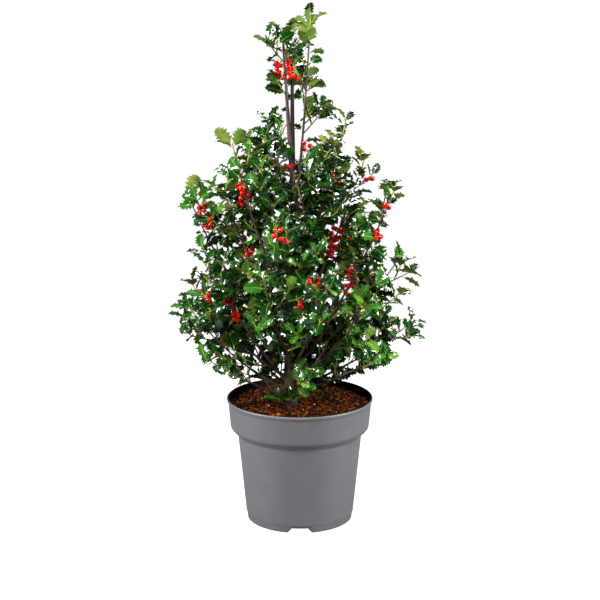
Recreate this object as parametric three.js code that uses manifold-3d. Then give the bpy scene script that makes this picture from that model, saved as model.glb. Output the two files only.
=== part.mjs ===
// A berried holly in a round nursery pot. A slim trunk stands in the soil, side leaders and boughs rise from
// it all round, and each ends in a mass of foliage: one stem, its twigs, stiff leaves and a few berries.
// Millimetres, +Z up. The origin is the middle of the pot's flat underside.

import * as THREE from "three";
import { mergeVertices } from "three/addons/utils/BufferGeometryUtils.js";
import Module from "manifold-3d";

const wasm = await Module();
wasm.setup();

// ---- Driving dimensions ----

const GAP = 0.3; // left between neighbouring solids
const UP = new THREE.Vector3(0, 0, 1);

const POT = {
  height: 240,
  wall: 2.2,
  footRadius: 100,
  neckRadius: 119, // under the rim band
  neckHeight: 169,
  bandFoot: 133.5, // outer radius at the band's lower edge
  bandFootHeight: 186,
  bandTop: 137.4, // outer radius under the lip
  lipRadius: 140,
  lipHeight: 6,
  floorHeight: 10, // clear height under the floor, between the foot skirt and the middle pad
  skirt: 4.5,
  padRadius: 30,
  sides: 32,
  notches: 4,
  notchFoot: 48, // width of a notch in the skirt, at the ground
  notchTop: 30,
  drainLength: 26,
  drainWidth: 9,
  drainRadius: 70,
};

const SOIL = { top: 222, edgeDrop: 3, levelRadius: 48, lump: 1.3, rings: 2 };

const TRUNK = {
  sides: 8,
  steps: 11,
  bends: [
    // height, and how far the axis stands off the pot's middle, to the right and to the back
    [222, -18, 0],
    [350, -21, 3],
    [620, -13, -2],
    [886, -14, 0],
  ],
  girths: [
    // height and radius, from the root flare to the pruned tip
    [222, 14],
    [238, 11.4],
    [275, 10],
    [400, 8],
    [620, 5.2],
    [886, 3],
  ],
};

// The crown's outline, as height, radius and how far its middle stands off the pot's, to the right.
const CROWN = [
  [232, 118, 0],
  [290, 172, 0],
  [330, 204, 0],
  [370, 238, 0],
  [480, 234, -2],
  [528, 204, 6],
  [552, 176, -6],
  [580, 190, -16],
  [625, 208, -26],
  [655, 198, -8],
  [686, 138, 10],
  [720, 128, -26],
  [750, 106, -8],
  [775, 102, 12],
  [804, 76, -6],
  [850, 62, -12],
  [925, 64, -16],
  [955, 52, -8],
  [990, 26, 8],
];

// The crown's underside rises outwards from this height in the trunk's axis.
const UNDERSIDE = { height: 216, rise: 0.56 };

// Each bough leaves the trunk at the height foot, on the bearing turn (degrees, from the right to the back),
// and its leading shoot ends at reach from the trunk and at the height top. bow is how far it hangs out of a
// straight line, and wood is the bare bough's share of the length: with none, the foliage's stem meets the
// trunk itself. stout is its girth against another of its length.
const BOUGHS = {
  low_right: { foot: 241, turn: -32, reach: 200, top: 350, bow: 0.02, wood: 0.3 },
  right: { foot: 253, turn: -9, reach: 230, top: 394, bow: 0.04, wood: 0.3 },
  wide_right: { foot: 266, turn: 15, reach: 218, top: 500, bow: 0.03, wood: 0.34 },
  tall_right: { foot: 274, turn: -21, reach: 204, top: 650, bow: 0.03, wood: 0.36, berries: 4 },
  upper_right: { foot: 369, turn: 18, reach: 150, top: 690, bow: 0.03, wood: 0.36 },
  high_right: { foot: 450, turn: -27, reach: 114, top: 774, bow: 0.03, wood: 0.34, berries: 3 },
  right_leader: { foot: 536, turn: -25, reach: 37, top: 956, bow: 0.01, wood: 0.42, berries: 3 },
  left_leader: { foot: 640, turn: 196, reach: 19, top: 930, bow: 0, wood: 0.46, berries: 4, stout: 1.35 },
  upper_left: { foot: 411, turn: 212, reach: 120, top: 732, bow: 0.03, wood: 0.36, berries: 4 },
  inner_left: { foot: 372, turn: 190, reach: 120, top: 634, bow: 0.03, wood: 0.34 },
  wide_left: { foot: 331, turn: 176, reach: 190, top: 630, bow: 0.05, wood: 0.38, berries: 4 },
  tall_left: { foot: 260, turn: 210, reach: 180, top: 520, bow: 0.02, wood: 0.34, berries: 4 },
  left: { foot: 272, turn: 171, reach: 190, top: 456, bow: 0.06, wood: 0.3 },
  low_left: { foot: 249, turn: 198, reach: 194, top: 426, bow: 0.06, wood: 0.3 },
  lowest_left: { foot: 238, turn: 217, reach: 198, top: 350, bow: 0.03, wood: 0.3 },
  front_left: { foot: 322, turn: 255, reach: 168, top: 508, bow: 0.06, wood: 0.28 },
  front_right: { foot: 292, turn: 292, reach: 188, top: 504, bow: 0.06, wood: 0.28, berries: 4 },
  back_low_right: { foot: 252, turn: 48, reach: 196, top: 385, bow: 0.05, wood: 0.3 },
  back_low: { foot: 262, turn: 94, reach: 195, top: 372, bow: 0.05, wood: 0.3 },
  back_low_left: { foot: 256, turn: 138, reach: 200, top: 392, bow: 0.05, wood: 0.3 },
  back_right: { foot: 296, turn: 68, reach: 188, top: 504, bow: 0.06, wood: 0.32, berries: 3 },
  back_left: { foot: 302, turn: 116, reach: 186, top: 510, bow: 0.06, wood: 0.32, berries: 3 },
  middle_right: { foot: 304, turn: 3, reach: 208, top: 438, bow: 0.04, wood: 0 },
  high_left: { foot: 593, turn: 222, reach: 62, top: 775, bow: 0.03, wood: 0 },
  upper_left_front: { foot: 504, turn: 240, reach: 108, top: 690, bow: 0.03, wood: 0 },
  front: { foot: 431, turn: 268, reach: 142, top: 590, bow: 0.05, wood: 0, berries: 3 },
  upper_front: { foot: 508, turn: 300, reach: 92, top: 700, bow: 0.03, wood: 0, berries: 3 },
  low_front_right: { foot: 268, turn: 318, reach: 186, top: 440, bow: 0.05, wood: 0 },
  sprout: { foot: 250, turn: 300, reach: 52, top: 298, bow: 0.02, wood: 0 },
  back_wide_right: { foot: 330, turn: 36, reach: 172, top: 592, bow: 0.06, wood: 0 },
  back_upper_right: { foot: 400, turn: 66, reach: 138, top: 660, bow: 0.05, wood: 0 },
  back_upper_left: { foot: 392, turn: 140, reach: 142, top: 655, bow: 0.05, wood: 0, berries: 3 },
  back_high_right: { foot: 500, turn: 40, reach: 104, top: 724, bow: 0.03, wood: 0 },
  back_high_left: { foot: 520, turn: 150, reach: 96, top: 728, bow: 0.03, wood: 0 },
};

// The shoot on the trunk's own tip leans this way from its foot, to the right, to the back and up.
const TIP_SHOOT = new THREE.Vector3(6, 12, 44);

const LIMB = { sides: 5, steps: 3, footRadius: 3.9, footShare: 0.42, tipRadius: 1.7 };

const TWIG = {
  sides: 3,
  stemSteps: 3,
  rootRadius: 0.5, // at the axis of the stem
  collarRadius: 1.7,
  tipRadius: 1.35,
  collar: 5, // from the stem's axis
  spacing: 44, // along the stem, from one twig to the next
  spread: 0.84, // radians between a twig and its stem
  lift: 0.3, // how much a twig turns up to the light
  length: 84,
  lengths: [1, 0.8, 0.62, 0.45], // tried in turn until one finds room
  tipReach: 18, // of leaf, past the twig's end
};

const LEAF = {
  length: 52,
  width: 30,
  belly: 0.42, // of its length, to its widest place
  cup: 3.6, // how far the blade's sides stand up from its midrib
  droop: 5,
  stalkHeight: 1.7, // of its root on the shoot
  stalkWidth: 0.56, // of the width of the shoot's face
  thinnest: 0.5, // at the root of the blade
  whorl: [4, 9, 15], // from a shoot's tip to each of its last leaves
  spacing: 28, // along a shoot, between the others
  bareShare: 0.2, // of a shoot's foot
  bareLength: 9, // at least
  tipSpread: 0.62, // radians between a shoot's last leaf and the shoot
  footSpread: 1.15,
  tries: [
    // the side of the shoot it stands on, its turn from there, its size
    [0, 0, 1],
    [0, 0.6, 0.95],
    [0, -0.6, 0.95],
    [1, 0, 0.9],
    [2, 0, 0.9],
    [1, 0.5, 0.85],
    [2, -0.5, 0.85],
    [1, -0.5, 0.8],
    [2, 0.5, 0.8],
  ],
};

const OVERHANG = 12; // how far a leaf may lean out over the line between two masses' spaces

const BERRY = { radius: 5.4, reach: 0.8 };

// ---- Solids and geometries ----

// A geometry's closed body, to join and to cut.
function solidOf(geometry) {
  const bare = geometry.index ? geometry.toNonIndexed() : geometry.clone();
  for (const name of ["normal", "uv"]) bare.deleteAttribute(name);
  const merged = mergeVertices(bare, 1e-4);
  return new wasm.Manifold(
    new wasm.Mesh({
      numProp: 3,
      vertProperties: merged.attributes.position.array,
      triVerts: new Uint32Array(merged.index.array),
    }),
  );
}

function geometryOf(solid) {
  const { vertProperties, triVerts } = solid.getMesh();
  const geometry = new THREE.BufferGeometry();
  geometry.setAttribute("position", new THREE.BufferAttribute(vertProperties, 3));
  geometry.setIndex(new THREE.BufferAttribute(triVerts, 1));
  geometry.computeVertexNormals();
  return geometry;
}

function indexed(points, faces) {
  const geometry = new THREE.BufferGeometry();
  geometry.setAttribute("position", new THREE.Float32BufferAttribute(points.flatMap((p) => [...p]), 3));
  geometry.setIndex(faces.flat());
  return geometry;
}

// The same numbers in the same order on every build.
function seeded(seed) {
  let state = seed >>> 0;
  return () => {
    state = (Math.imul(state, 1664525) + 1013904223) >>> 0;
    return state / 2 ** 32;
  };
}

// Reads a list of [key, value, ...] rows as a smooth line through its values.
function along(rows, key, column = 1) {
  let i = 1;
  while (i < rows.length - 1 && rows[i][0] < key) i++;
  const share = THREE.MathUtils.smoothstep(key, rows[i - 1][0], rows[i][0]);
  return THREE.MathUtils.lerp(rows[i - 1][column], rows[i][column], share);
}

// A stretch of another curve, from its share a to its share b.
class Stretch extends THREE.Curve {
  constructor(curve, a, b) {
    super();
    Object.assign(this, { curve, a, b });
  }
  getPoint(t, target = new THREE.Vector3()) {
    return this.curve.getPoint(THREE.MathUtils.lerp(this.a, this.b, t), target);
  }
}

// A curve taken as straight lengths, as its limb is built, so that what stands on it starts inside the wood.
class Faceted extends THREE.Curve {
  constructor(curve, steps) {
    super();
    this.joints = Array.from({ length: steps + 1 }, (_, i) => curve.getPointAt(i / steps));
  }
  getPoint(t, target = new THREE.Vector3()) {
    const place = t * (this.joints.length - 1);
    const i = Math.min(Math.floor(place), this.joints.length - 2);
    return target.lerpVectors(this.joints[i], this.joints[i + 1], place - i);
  }
}

// The direction from a limb's axis to one of its corners, or to one of its sides where number ends in a half.
function radialAt({ frames, steps, sides }, share, number) {
  const i = Math.min(Math.floor(share * steps), steps - 1);
  const part = share * steps - i;
  const normal = frames.normals[i].clone().lerp(frames.normals[i + 1], part);
  const binormal = frames.binormals[i].clone().lerp(frames.binormals[i + 1], part);
  const angle = (2 * Math.PI * number) / sides;
  return normal.multiplyScalar(Math.cos(angle)).addScaledVector(binormal, Math.sin(angle)).normalize();
}

// A limb follows a curve and may bear leaves. A collar is a place near its foot where its taper changes.
function limbOf(curve, radiusAt, sides, steps, collar = 0) {
  const frames = curve.computeFrenetFrames(steps);
  const length = curve.getLength();
  return { curve, radiusAt, sides, steps, frames, length, collar: collar / length, leaves: [] };
}

// A limb has a ring at each of its steps, one at the collar, and one more wherever a side would bear two leaves
// between rings.
function ringShares({ steps, leaves, collar }) {
  const rings = Array.from({ length: steps + 1 }, (_, i) => i / steps);
  if (collar) rings.push(collar);
  let taken = [];
  leaves.sort((a, b) => a.share - b.share);
  leaves.forEach(({ share, side }, k) => {
    const last = k ? leaves[k - 1].share : 0;
    if (rings.some((ring) => ring > last && ring < share)) taken = [];
    if (taken.includes(side)) {
      rings.push((last + share) / 2);
      taken = [];
    }
    taken.push(side);
  });
  return rings.sort((a, b) => a - b);
}

// A closed limb with flat ends and its leaves grown out of its sides.
function limbGeometry(limb, extra = 0) {
  const { curve, radiusAt, sides, leaves } = limb;
  const shares = ringShares(limb);
  const points = [];
  const faces = [];
  for (const share of shares) {
    const centre = curve.getPointAt(share);
    for (let j = 0; j < sides; j++) {
      points.push(centre.clone().addScaledVector(radialAt(limb, share, j), radiusAt(share) + extra));
    }
  }
  for (let i = 0; i < shares.length - 1; i++) {
    for (let j = 0; j < sides; j++) {
      const [a, b] = [i * sides + j, i * sides + ((j + 1) % sides)];
      const corners = [a, b, b + sides, a + sides];
      const leaf = leaves.find((l) => l.side === j && l.share > shares[i] && l.share < shares[i + 1]);
      if (leaf) addLeafFaces(points, faces, corners, leaf);
      else faces.push([corners[0], corners[1], corners[3]], [corners[1], corners[2], corners[3]]);
    }
  }
  const last = (shares.length - 1) * sides;
  for (let j = 1; j < sides - 1; j++) {
    faces.push([0, j + 1, j], [last, last + j, last + j + 1]);
  }
  return indexed(points, faces);
}

// A point on a side of a limb, at a share of its length and a share of the way across.
function onSide(limb, share, side, across) {
  const [right, left] = [radialAt(limb, share, side), radialAt(limb, share, side + 1)];
  return limb.curve.getPointAt(share).addScaledVector(right.lerp(left, across), limb.radiusAt(share));
}

// The three-cornered root of a stalk in a side of a limb: its keel below, and its two upper corners.
function stalkRoot(limb, share, side) {
  const rise = LEAF.stalkHeight / 2 / limb.length;
  const half = LEAF.stalkWidth / 2;
  return [
    onSide(limb, share - rise, side, 0.5),
    onSide(limb, share + rise, side, 0.5 - half),
    onSide(limb, share + rise, side, 0.5 + half),
  ];
}

// Whether a leaf has its thickness all over, with its keel under each part of its upper face.
function isSound([keel, left, right], [wingLeft, wingRight, tip]) {
  const upper = [[right, left, tip], [left, wingLeft, tip], [right, tip, wingRight]];
  return upper.every((corners) => {
    const plane = new THREE.Plane().setFromCoplanarPoints(...corners);
    return plane.distanceToPoint(keel) < -LEAF.thinnest;
  });
}

// A leaf in one side of a limb: seven faces round the root of its stalk, and the side's own.
function addLeafFaces(points, faces, corners, { root, rim }) {
  const [a, b, c, d] = corners;
  const keel = points.length;
  const [left, right, wingLeft, wingRight, tip] = [1, 2, 3, 4, 5].map((i) => keel + i);
  points.push(...root, ...rim);
  faces.push([a, b, keel], [b, c, right], [b, right, keel], [c, d, right]);
  faces.push([d, left, right], [d, a, left], [a, keel, left]);
  faces.push([right, left, tip], [left, wingLeft, tip], [right, tip, wingRight]);
  faces.push([left, keel, wingLeft], [keel, right, wingRight], [keel, tip, wingLeft], [keel, wingRight, tip]);
}

const taper = (foot, tip) => (share) => THREE.MathUtils.lerp(foot, tip, share);

// ---- Pot and soil ----

function potProfile() {
  const p = POT;
  const floorTop = p.floorHeight + p.wall + 0.3;
  const outside = [
    [0, 0],
    [p.padRadius, 0],
    [p.padRadius + 1, p.floorHeight],
    [p.footRadius - p.skirt, p.floorHeight],
    [p.footRadius - p.skirt, 0],
    [p.footRadius, 0],
    [p.footRadius + 2, 2],
    [p.neckRadius, p.neckHeight],
    [p.bandFoot - 2.5, p.bandFootHeight - 5],
    [p.bandFoot, p.bandFootHeight],
    [p.bandTop, p.height - p.lipHeight - 2],
    [p.lipRadius, p.height - p.lipHeight],
    [p.lipRadius, p.height - 1],
    [p.lipRadius - 1, p.height],
  ];
  const inside = [
    [p.bandTop - 1, p.height],
    [p.bandFoot - p.wall, p.bandFootHeight + 1],
    [p.neckRadius - p.wall, p.neckHeight + 2],
    [p.footRadius + 2 - p.wall, floorTop],
    [0, floorTop],
  ];
  return { outside, inside };
}

function latheOf(profile, sides) {
  const line = profile.map(([r, z]) => new THREE.Vector2(r, z));
  return new THREE.LatheGeometry(line, sides).rotateX(Math.PI / 2);
}

function potSolid() {
  const { outside, inside } = potProfile();
  let pot = solidOf(latheOf([...outside, ...inside], POT.sides));
  const { notchFoot, notchTop, floorHeight, footRadius, notches } = POT;
  const outline = new THREE.Shape([
    new THREE.Vector2(-notchFoot / 2 - 1, -1),
    new THREE.Vector2(notchFoot / 2 + 1, -1),
    new THREE.Vector2(notchTop / 2, floorHeight),
    new THREE.Vector2(-notchTop / 2, floorHeight),
  ]);
  for (let i = 0; i < notches; i++) {
    const turn = new THREE.Matrix4().makeRotationZ((i * 2 * Math.PI) / notches);
    const notch = new THREE.ExtrudeGeometry(outline, { depth: 30, bevelEnabled: false })
      .rotateX(Math.PI / 2)
      .translate(0, -(footRadius - 16), 0)
      .applyMatrix4(turn);
    const drain = new THREE.BoxGeometry(POT.drainLength, POT.drainWidth, 12)
      .translate(0, -POT.drainRadius, floorHeight)
      .applyMatrix4(turn);
    pot = pot.subtract(solidOf(notch)).subtract(solidOf(drain));
  }
  return pot;
}

function soilSolid() {
  const { inside } = potProfile();
  const wall = inside.slice(1, 4).map(([r, z]) => [r - GAP - 0.1, z]);
  const floor = inside[3][1] + GAP;
  wall[2][1] = floor;
  const edge = wall[0][0] + 2;
  const rings = [];
  for (let i = SOIL.rings; i >= 0; i--) {
    const share = i / SOIL.rings;
    rings.push([THREE.MathUtils.lerp(SOIL.levelRadius, edge, share), SOIL.top - SOIL.edgeDrop * share]);
  }
  const profile = [[0, floor], ...wall.reverse(), ...rings, [0, SOIL.top]];
  const geometry = latheOf(profile, POT.sides);
  // Soft lumps between the trunk and the wall.
  const place = geometry.attributes.position;
  for (let i = 0; i < place.count; i++) {
    const [x, y, z] = [place.getX(i), place.getY(i), place.getZ(i)];
    const r = Math.hypot(x, y);
    if (z < SOIL.top - SOIL.edgeDrop - 1 || r <= SOIL.levelRadius + 1 || r > edge - 3) continue;
    place.setZ(i, z + SOIL.lump * Math.sin(x / 9) * Math.cos(y / 11));
  }
  return solidOf(geometry);
}

// ---- Wood ----

const trunkAxis = (z) =>
  new THREE.Vector3(along(TRUNK.bends, z, 1), along(TRUNK.bends, z, 2), z);

class TrunkAxis extends THREE.Curve {
  getPoint(t, target = new THREE.Vector3()) {
    const [low, high] = [SOIL.top + GAP, TRUNK.bends.at(-1)[0]];
    return target.copy(trunkAxis(THREE.MathUtils.lerp(low, high, t ** 1.3)));
  }
}

// The trunk stands on a level cut, so its rings stay level.
function trunkGeometry(extra = 0) {
  const axis = new TrunkAxis();
  const positions = [];
  const faces = [];
  const { sides, steps } = TRUNK;
  for (let i = 0; i <= steps; i++) {
    const centre = axis.getPoint(i / steps);
    const radius = along(TRUNK.girths, centre.z) + extra;
    for (let j = 0; j < sides; j++) {
      const angle = (2 * Math.PI * (j + 0.35 * i)) / sides;
      const flare = 1 + 0.16 * Math.max(0, 1 - i / 2) * Math.cos(3 * angle);
      positions.push([
        centre.x + radius * flare * Math.cos(angle),
        centre.y + radius * flare * Math.sin(angle),
        centre.z,
      ]);
      if (i === steps) continue;
      const [a, b] = [i * sides + j, i * sides + ((j + 1) % sides)];
      faces.push([a, b, a + sides], [b, b + sides, a + sides]);
    }
  }
  const last = steps * sides;
  for (let j = 1; j < sides - 1; j++) {
    faces.push([0, j + 1, j], [last, last + j, last + j + 1]);
  }
  return indexed(positions, faces);
}

// The line of a bough and its leading shoot, from the trunk's axis to the shoot's tip.
function boughPath({ foot, turn, reach, top, bow }) {
  const start = trunkAxis(foot);
  const bearing = THREE.MathUtils.degToRad(turn);
  const out = new THREE.Vector3(Math.cos(bearing), Math.sin(bearing), 0);
  const end = start.clone().addScaledVector(out, reach).setZ(top);
  const rise = top - foot;
  const sag = out.clone().multiplyScalar(rise).addScaledVector(UP, -reach);
  const knee = start.clone().lerp(end, 0.5).addScaledVector(sag, 2 * bow);
  return new THREE.QuadraticBezierCurve3(start, knee, end);
}

// The radius of a bough at a share of its path. Longer boughs are stouter.
function woodRadius(length, share) {
  const foot = LIMB.footRadius * (0.6 + LIMB.footShare * Math.min(1, length / 400));
  return THREE.MathUtils.lerp(foot, LIMB.tipRadius, share ** 0.8);
}

// ---- Foliage ----

// Where a leaf or a twig stands on its shoot: its foot, the shoot's direction there, and its own.
function standOff(shoot, share, side, turn, spread) {
  const foot = shoot.curve.getPointAt(share);
  const tangent = shoot.curve.getTangentAt(share);
  const radial = radialAt(shoot, share, side + 0.5).applyAxisAngle(tangent, turn);
  const way = tangent.clone().multiplyScalar(Math.cos(spread)).addScaledVector(radial, Math.sin(spread));
  return { foot, tangent, way: way.normalize() };
}

// The blade's frame: x along it, z out of its upper face, which looks to the shoot's tip and to the sky.
function bladeFrame({ foot, tangent, way }) {
  const face = tangent.clone().multiplyScalar(0.7).addScaledVector(UP, 0.5);
  face.addScaledVector(way, -face.dot(way)).normalize();
  const side = new THREE.Vector3().crossVectors(face, way);
  return new THREE.Matrix4().makeBasis(way, side, face).setPosition(foot);
}

// The blade's left wing, right wing and tip, in its own frame.
function bladeRim(size, extra = 0) {
  const [length, half] = [LEAF.length * size + extra, (LEAF.width * size) / 2 + extra];
  return [
    new THREE.Vector3(LEAF.belly * length, -half, LEAF.cup),
    new THREE.Vector3(LEAF.belly * length, half, LEAF.cup),
    new THREE.Vector3(length, 0, -LEAF.droop),
  ];
}

// A simple blade, a little fat, to test for room.
function bladeGuard(size, frame) {
  const [left, right, tip] = bladeRim(size, GAP);
  const half = LEAF.stalkHeight / 2 + GAP;
  const points = [[-GAP, 0, half], [-GAP, 0, -half], left, tip, right];
  const [upper, lower] = [[[0, 2, 3], [0, 3, 4]], [[1, 3, 2], [1, 4, 3]]];
  const faces = [...upper, ...lower, [2, 0, 1], [0, 4, 1]];
  return guardOf(indexed(points, faces).applyMatrix4(frame));
}

function crownHolds(point) {
  const radius = Math.hypot(point.x - along(CROWN, point.z, 2), point.y);
  const overRim = point.z > POT.height + 4 || radius < POT.bandFoot - 12;
  const fromTrunk = Math.hypot(point.x - TRUNK.bends[0][1], point.y);
  const overSoil = point.z > Math.max(SOIL.top + 4, UNDERSIDE.height + UNDERSIDE.rise * fromTrunk);
  return overSoil && overRim && radius < along(CROWN, point.z) && point.z < CROWN.at(-1)[0];
}

// ---- The plant ----

const limbs = []; // the trunk and the boughs, a little fat, to keep foliage off them
const placed = []; // every stem, twig, berry and leaf so far, a little fat

function guardOf(geometry) {
  geometry.computeBoundingBox();
  return { box: geometry.boundingBox, solid: solidOf(geometry) };
}

const hits = (a, b) => a.box.intersectsBox(b.box) && !a.solid.intersect(b.solid).isEmpty();

const isFree = (guard, mayTouch) =>
  !limbs.some((limb) => hits(guard, limb)) &&
  !placed.some((other) => other !== mayTouch && hits(guard, other));

const nearest = (mass, point) => Math.min(...mass.spine.map((p) => p.distanceTo(point)));

// A mass keeps to the space that lies nearer to its own stem than to any other.
function inOwnSpace(mass, point, overhang) {
  const own = nearest(mass, point) - overhang;
  return crownHolds(point) && masses.every((other) => other === mass || nearest(other, point) > own);
}

function newMass(name, path, seed, { wood = 0, berries = 0, stout = 1 } = {}) {
  const length = path.getLength();
  const start = wood ? wood + GAP / length : 0;
  const stem = new Faceted(new Stretch(path, start, 1), TWIG.stemSteps);
  const foot = stout * woodRadius(length, wood || 0.3) * 1.1;
  const spine = Array.from({ length: 10 }, (_, i) => stem.getPoint(wood ? i / 9 : 0.1 + i / 10));
  return { name, stem, foot, spine, berries, onTrunk: !wood, random: seeded(seed), shoots: [], fruit: [] };
}

// Adds a shoot to its mass and keeps what comes later off it.
function addShoot(mass, shoot, guard) {
  placed.push(guard);
  mass.shoots.push(Object.assign(shoot, { guard }));
}

function addStem(mass) {
  const stem = limbOf(mass.stem, taper(mass.foot, TWIG.tipRadius), TWIG.sides, TWIG.stemSteps);
  addShoot(mass, stem, guardOf(limbGeometry(stem, GAP)));
}

// A twig's foot narrows inside the stem, so that it stays within it.
function twigOf(curve) {
  const collar = TWIG.collar / curve.getLength();
  const radius = (share) =>
    share < collar
      ? THREE.MathUtils.mapLinear(share, 0, collar, TWIG.rootRadius, TWIG.collarRadius)
      : THREE.MathUtils.mapLinear(share, collar, 1, TWIG.collarRadius, TWIG.tipRadius);
  return limbOf(curve, radius, TWIG.sides, 1, TWIG.collar);
}

function addTwigs(mass) {
  const stem = mass.shoots[0];
  const count = Math.round((stem.length * 0.84) / TWIG.spacing);
  for (let k = 0; k < count; k++) {
    const share = 0.08 + (0.74 * (k + 0.2 + 0.6 * mass.random())) / count;
    const length = TWIG.length * (1.12 - 0.5 * share) * (0.85 + 0.3 * mass.random());
    const leaning = (mass.random() - 0.5) * 0.6;
    for (const size of TWIG.lengths) {
      const { foot, way } = standOff(stem, share, k, leaning, TWIG.spread);
      way.addScaledVector(UP, TWIG.lift).normalize();
      const curve = new THREE.LineCurve3(foot, foot.clone().addScaledVector(way, length * size));
      const twig = twigOf(curve);
      const guard = guardOf(limbGeometry(twig, GAP));
      const leafEnd = curve.v2.clone().addScaledVector(way, TWIG.tipReach);
      if (!inOwnSpace(mass, curve.v2, 0) || !crownHolds(leafEnd) || !isFree(guard, stem.guard)) continue;
      addShoot(mass, twig, guard);
      break;
    }
  }
}

function addBerries(mass) {
  const stem = mass.shoots[0];
  const share = 0.3 + 0.2 * mass.random();
  const out = stem.radiusAt(share) * 0.5 + BERRY.radius * BERRY.reach;
  for (let k = 0; k < mass.berries; k++) {
    const at = standOff(stem, share + (0.5 * k * BERRY.radius) / stem.length, k, 0.4, Math.PI / 2);
    const centre = at.foot.addScaledVector(at.way, out);
    const berry = (radius) => new THREE.IcosahedronGeometry(radius, 0).translate(...centre);
    const guard = guardOf(berry(BERRY.radius + GAP));
    if (!isFree(guard, stem.guard)) continue;
    placed.push(guard);
    mass.fruit.push(solidOf(berry(BERRY.radius)));
  }
}

// Where a shoot's leaves stand, from its tip down, clear of its joints.
function leafShares({ length, steps }) {
  const fromTip = LEAF.whorl.filter((place) => place < length * 0.6);
  const last = length - Math.max(LEAF.bareShare * length, LEAF.bareLength);
  for (let place = LEAF.whorl.at(-1) + LEAF.spacing; place < last; place += LEAF.spacing) fromTip.push(place);
  return fromTip.map((place) => {
    const share = 1 - place / length;
    const joint = Math.round(share * steps) / steps;
    const clear = (1.5 * LEAF.stalkHeight) / length;
    return Math.abs(share - joint) < clear ? joint + clear : share;
  });
}

function addLeaves(mass) {
  for (const shoot of mass.shoots) {
    const phase = mass.random();
    leafShares(shoot).forEach((share, k) => {
      const spread = THREE.MathUtils.lerp(LEAF.tipSpread, LEAF.footSpread, Math.min(1, k / 4));
      const full = 0.92 + 0.16 * mass.random();
      for (const [step, turn, scale] of LEAF.tries) {
        const side = (k + step) % TWIG.sides;
        const at = standOff(shoot, share, side, turn + 0.5 * phase - 0.25, spread);
        const frame = bladeFrame(at);
        const rim = bladeRim(full * scale).map((p) => p.applyMatrix4(frame));
        const root = stalkRoot(shoot, share, side);
        if (!isSound(root, rim) || !rim.every((p) => inOwnSpace(mass, p, OVERHANG))) continue;
        const guard = bladeGuard(full * scale, frame);
        if (!isFree(guard, shoot.guard)) continue;
        placed.push(guard);
        shoot.leaves.push({ share, side, root, rim });
        return;
      }
    });
  }
}

const paths = Object.fromEntries(Object.entries(BOUGHS).map(([name, bough]) => [name, boughPath(bough)]));

const trunkGuard = guardOf(trunkGeometry(GAP));
limbs.push(trunkGuard);

const boughs = {};
for (const [name, { wood, stout = 1 }] of Object.entries(BOUGHS)) {
  if (!wood) continue;
  const length = paths[name].getLength();
  const line = new Stretch(paths[name], 0, wood);
  const bough = limbOf(line, (share) => stout * woodRadius(length, share * wood), LIMB.sides, LIMB.steps);
  boughs[name] = solidOf(limbGeometry(bough)).subtract(trunkGuard.solid);
  limbs.push(guardOf(limbGeometry(bough, GAP)));
}

const tipFoot = trunkAxis(TRUNK.bends.at(-1)[0]);
const tipPath = new THREE.LineCurve3(tipFoot, tipFoot.clone().add(TIP_SHOOT));
const masses = Object.entries(BOUGHS).map(([name, bough], i) => newMass(name, paths[name], 101 + 17 * i, bough));
masses.push(newMass("trunk_tip", tipPath, 7));

masses.forEach(addStem);
masses.forEach(addTwigs);
masses.forEach(addBerries);
masses.forEach(addLeaves);

// ---- Materials and the scene graph ----

const FINISH = {
  bark: { color: 0x4a3c38, roughness: 0.75 },
  leaf: { color: 0x1f4a1a, roughness: 0.3 },
  pot: { color: 0x707176, roughness: 0.5 },
  soil: { color: 0x3f2413, roughness: 0.95 },
};

function named(name, solid, finish) {
  const mesh = new THREE.Mesh(geometryOf(solid), new THREE.MeshStandardMaterial(finish));
  mesh.name = name;
  return mesh;
}

const container = new THREE.Group();
container.add(named("pot", potSolid(), FINISH.pot), named("soil", soilSolid(), FINISH.soil));

const wood = new THREE.Group();
wood.add(named("trunk", solidOf(trunkGeometry()), FINISH.bark));
for (const [name, solid] of Object.entries(boughs)) wood.add(named(`bough_${name}`, solid, FINISH.bark));

const foliage = new THREE.Group();
for (const mass of masses) {
  const shoots = mass.shoots.map((shoot) => solidOf(limbGeometry(shoot)));
  let solid = [...shoots, ...mass.fruit].reduce((joined, part) => joined.add(part));
  if (mass.onTrunk) solid = solid.subtract(trunkGuard.solid);
  foliage.add(named(`foliage_${mass.name}`, solid, FINISH.leaf));
}

const holly = new THREE.Group();
holly.add(container, wood, foliage);

export default holly;
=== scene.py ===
from math import cos, hypot, pi, radians, sin, sqrt

import bmesh
import bpy
import numpy as np
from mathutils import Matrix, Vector, noise


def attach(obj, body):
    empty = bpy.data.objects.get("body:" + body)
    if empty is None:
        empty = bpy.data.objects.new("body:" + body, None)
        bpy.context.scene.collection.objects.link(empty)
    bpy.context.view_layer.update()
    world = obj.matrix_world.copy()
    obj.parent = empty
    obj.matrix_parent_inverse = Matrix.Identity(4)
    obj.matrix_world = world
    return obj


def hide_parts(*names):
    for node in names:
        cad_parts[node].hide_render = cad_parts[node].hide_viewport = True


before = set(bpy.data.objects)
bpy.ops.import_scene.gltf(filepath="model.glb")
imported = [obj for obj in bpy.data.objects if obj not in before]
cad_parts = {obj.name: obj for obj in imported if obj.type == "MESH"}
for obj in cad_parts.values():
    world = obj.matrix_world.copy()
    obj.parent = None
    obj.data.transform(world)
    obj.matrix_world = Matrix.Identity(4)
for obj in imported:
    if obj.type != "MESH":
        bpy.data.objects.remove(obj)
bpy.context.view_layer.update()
scene = bpy.context.scene
nodeNames = sorted(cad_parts)
print("frame loaded:", len(nodeNames), "nodes")


# Camera and studio

view = {
    "distance": 2.88,  # metres from the pot's middle
    "height": 1.085,
    "tilt": 12.82,  # degrees down
    "lens": 93.6,
    "sensor": 36,
    "clipEnd": 50,
    "aside": 0.0004,
}

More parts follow.
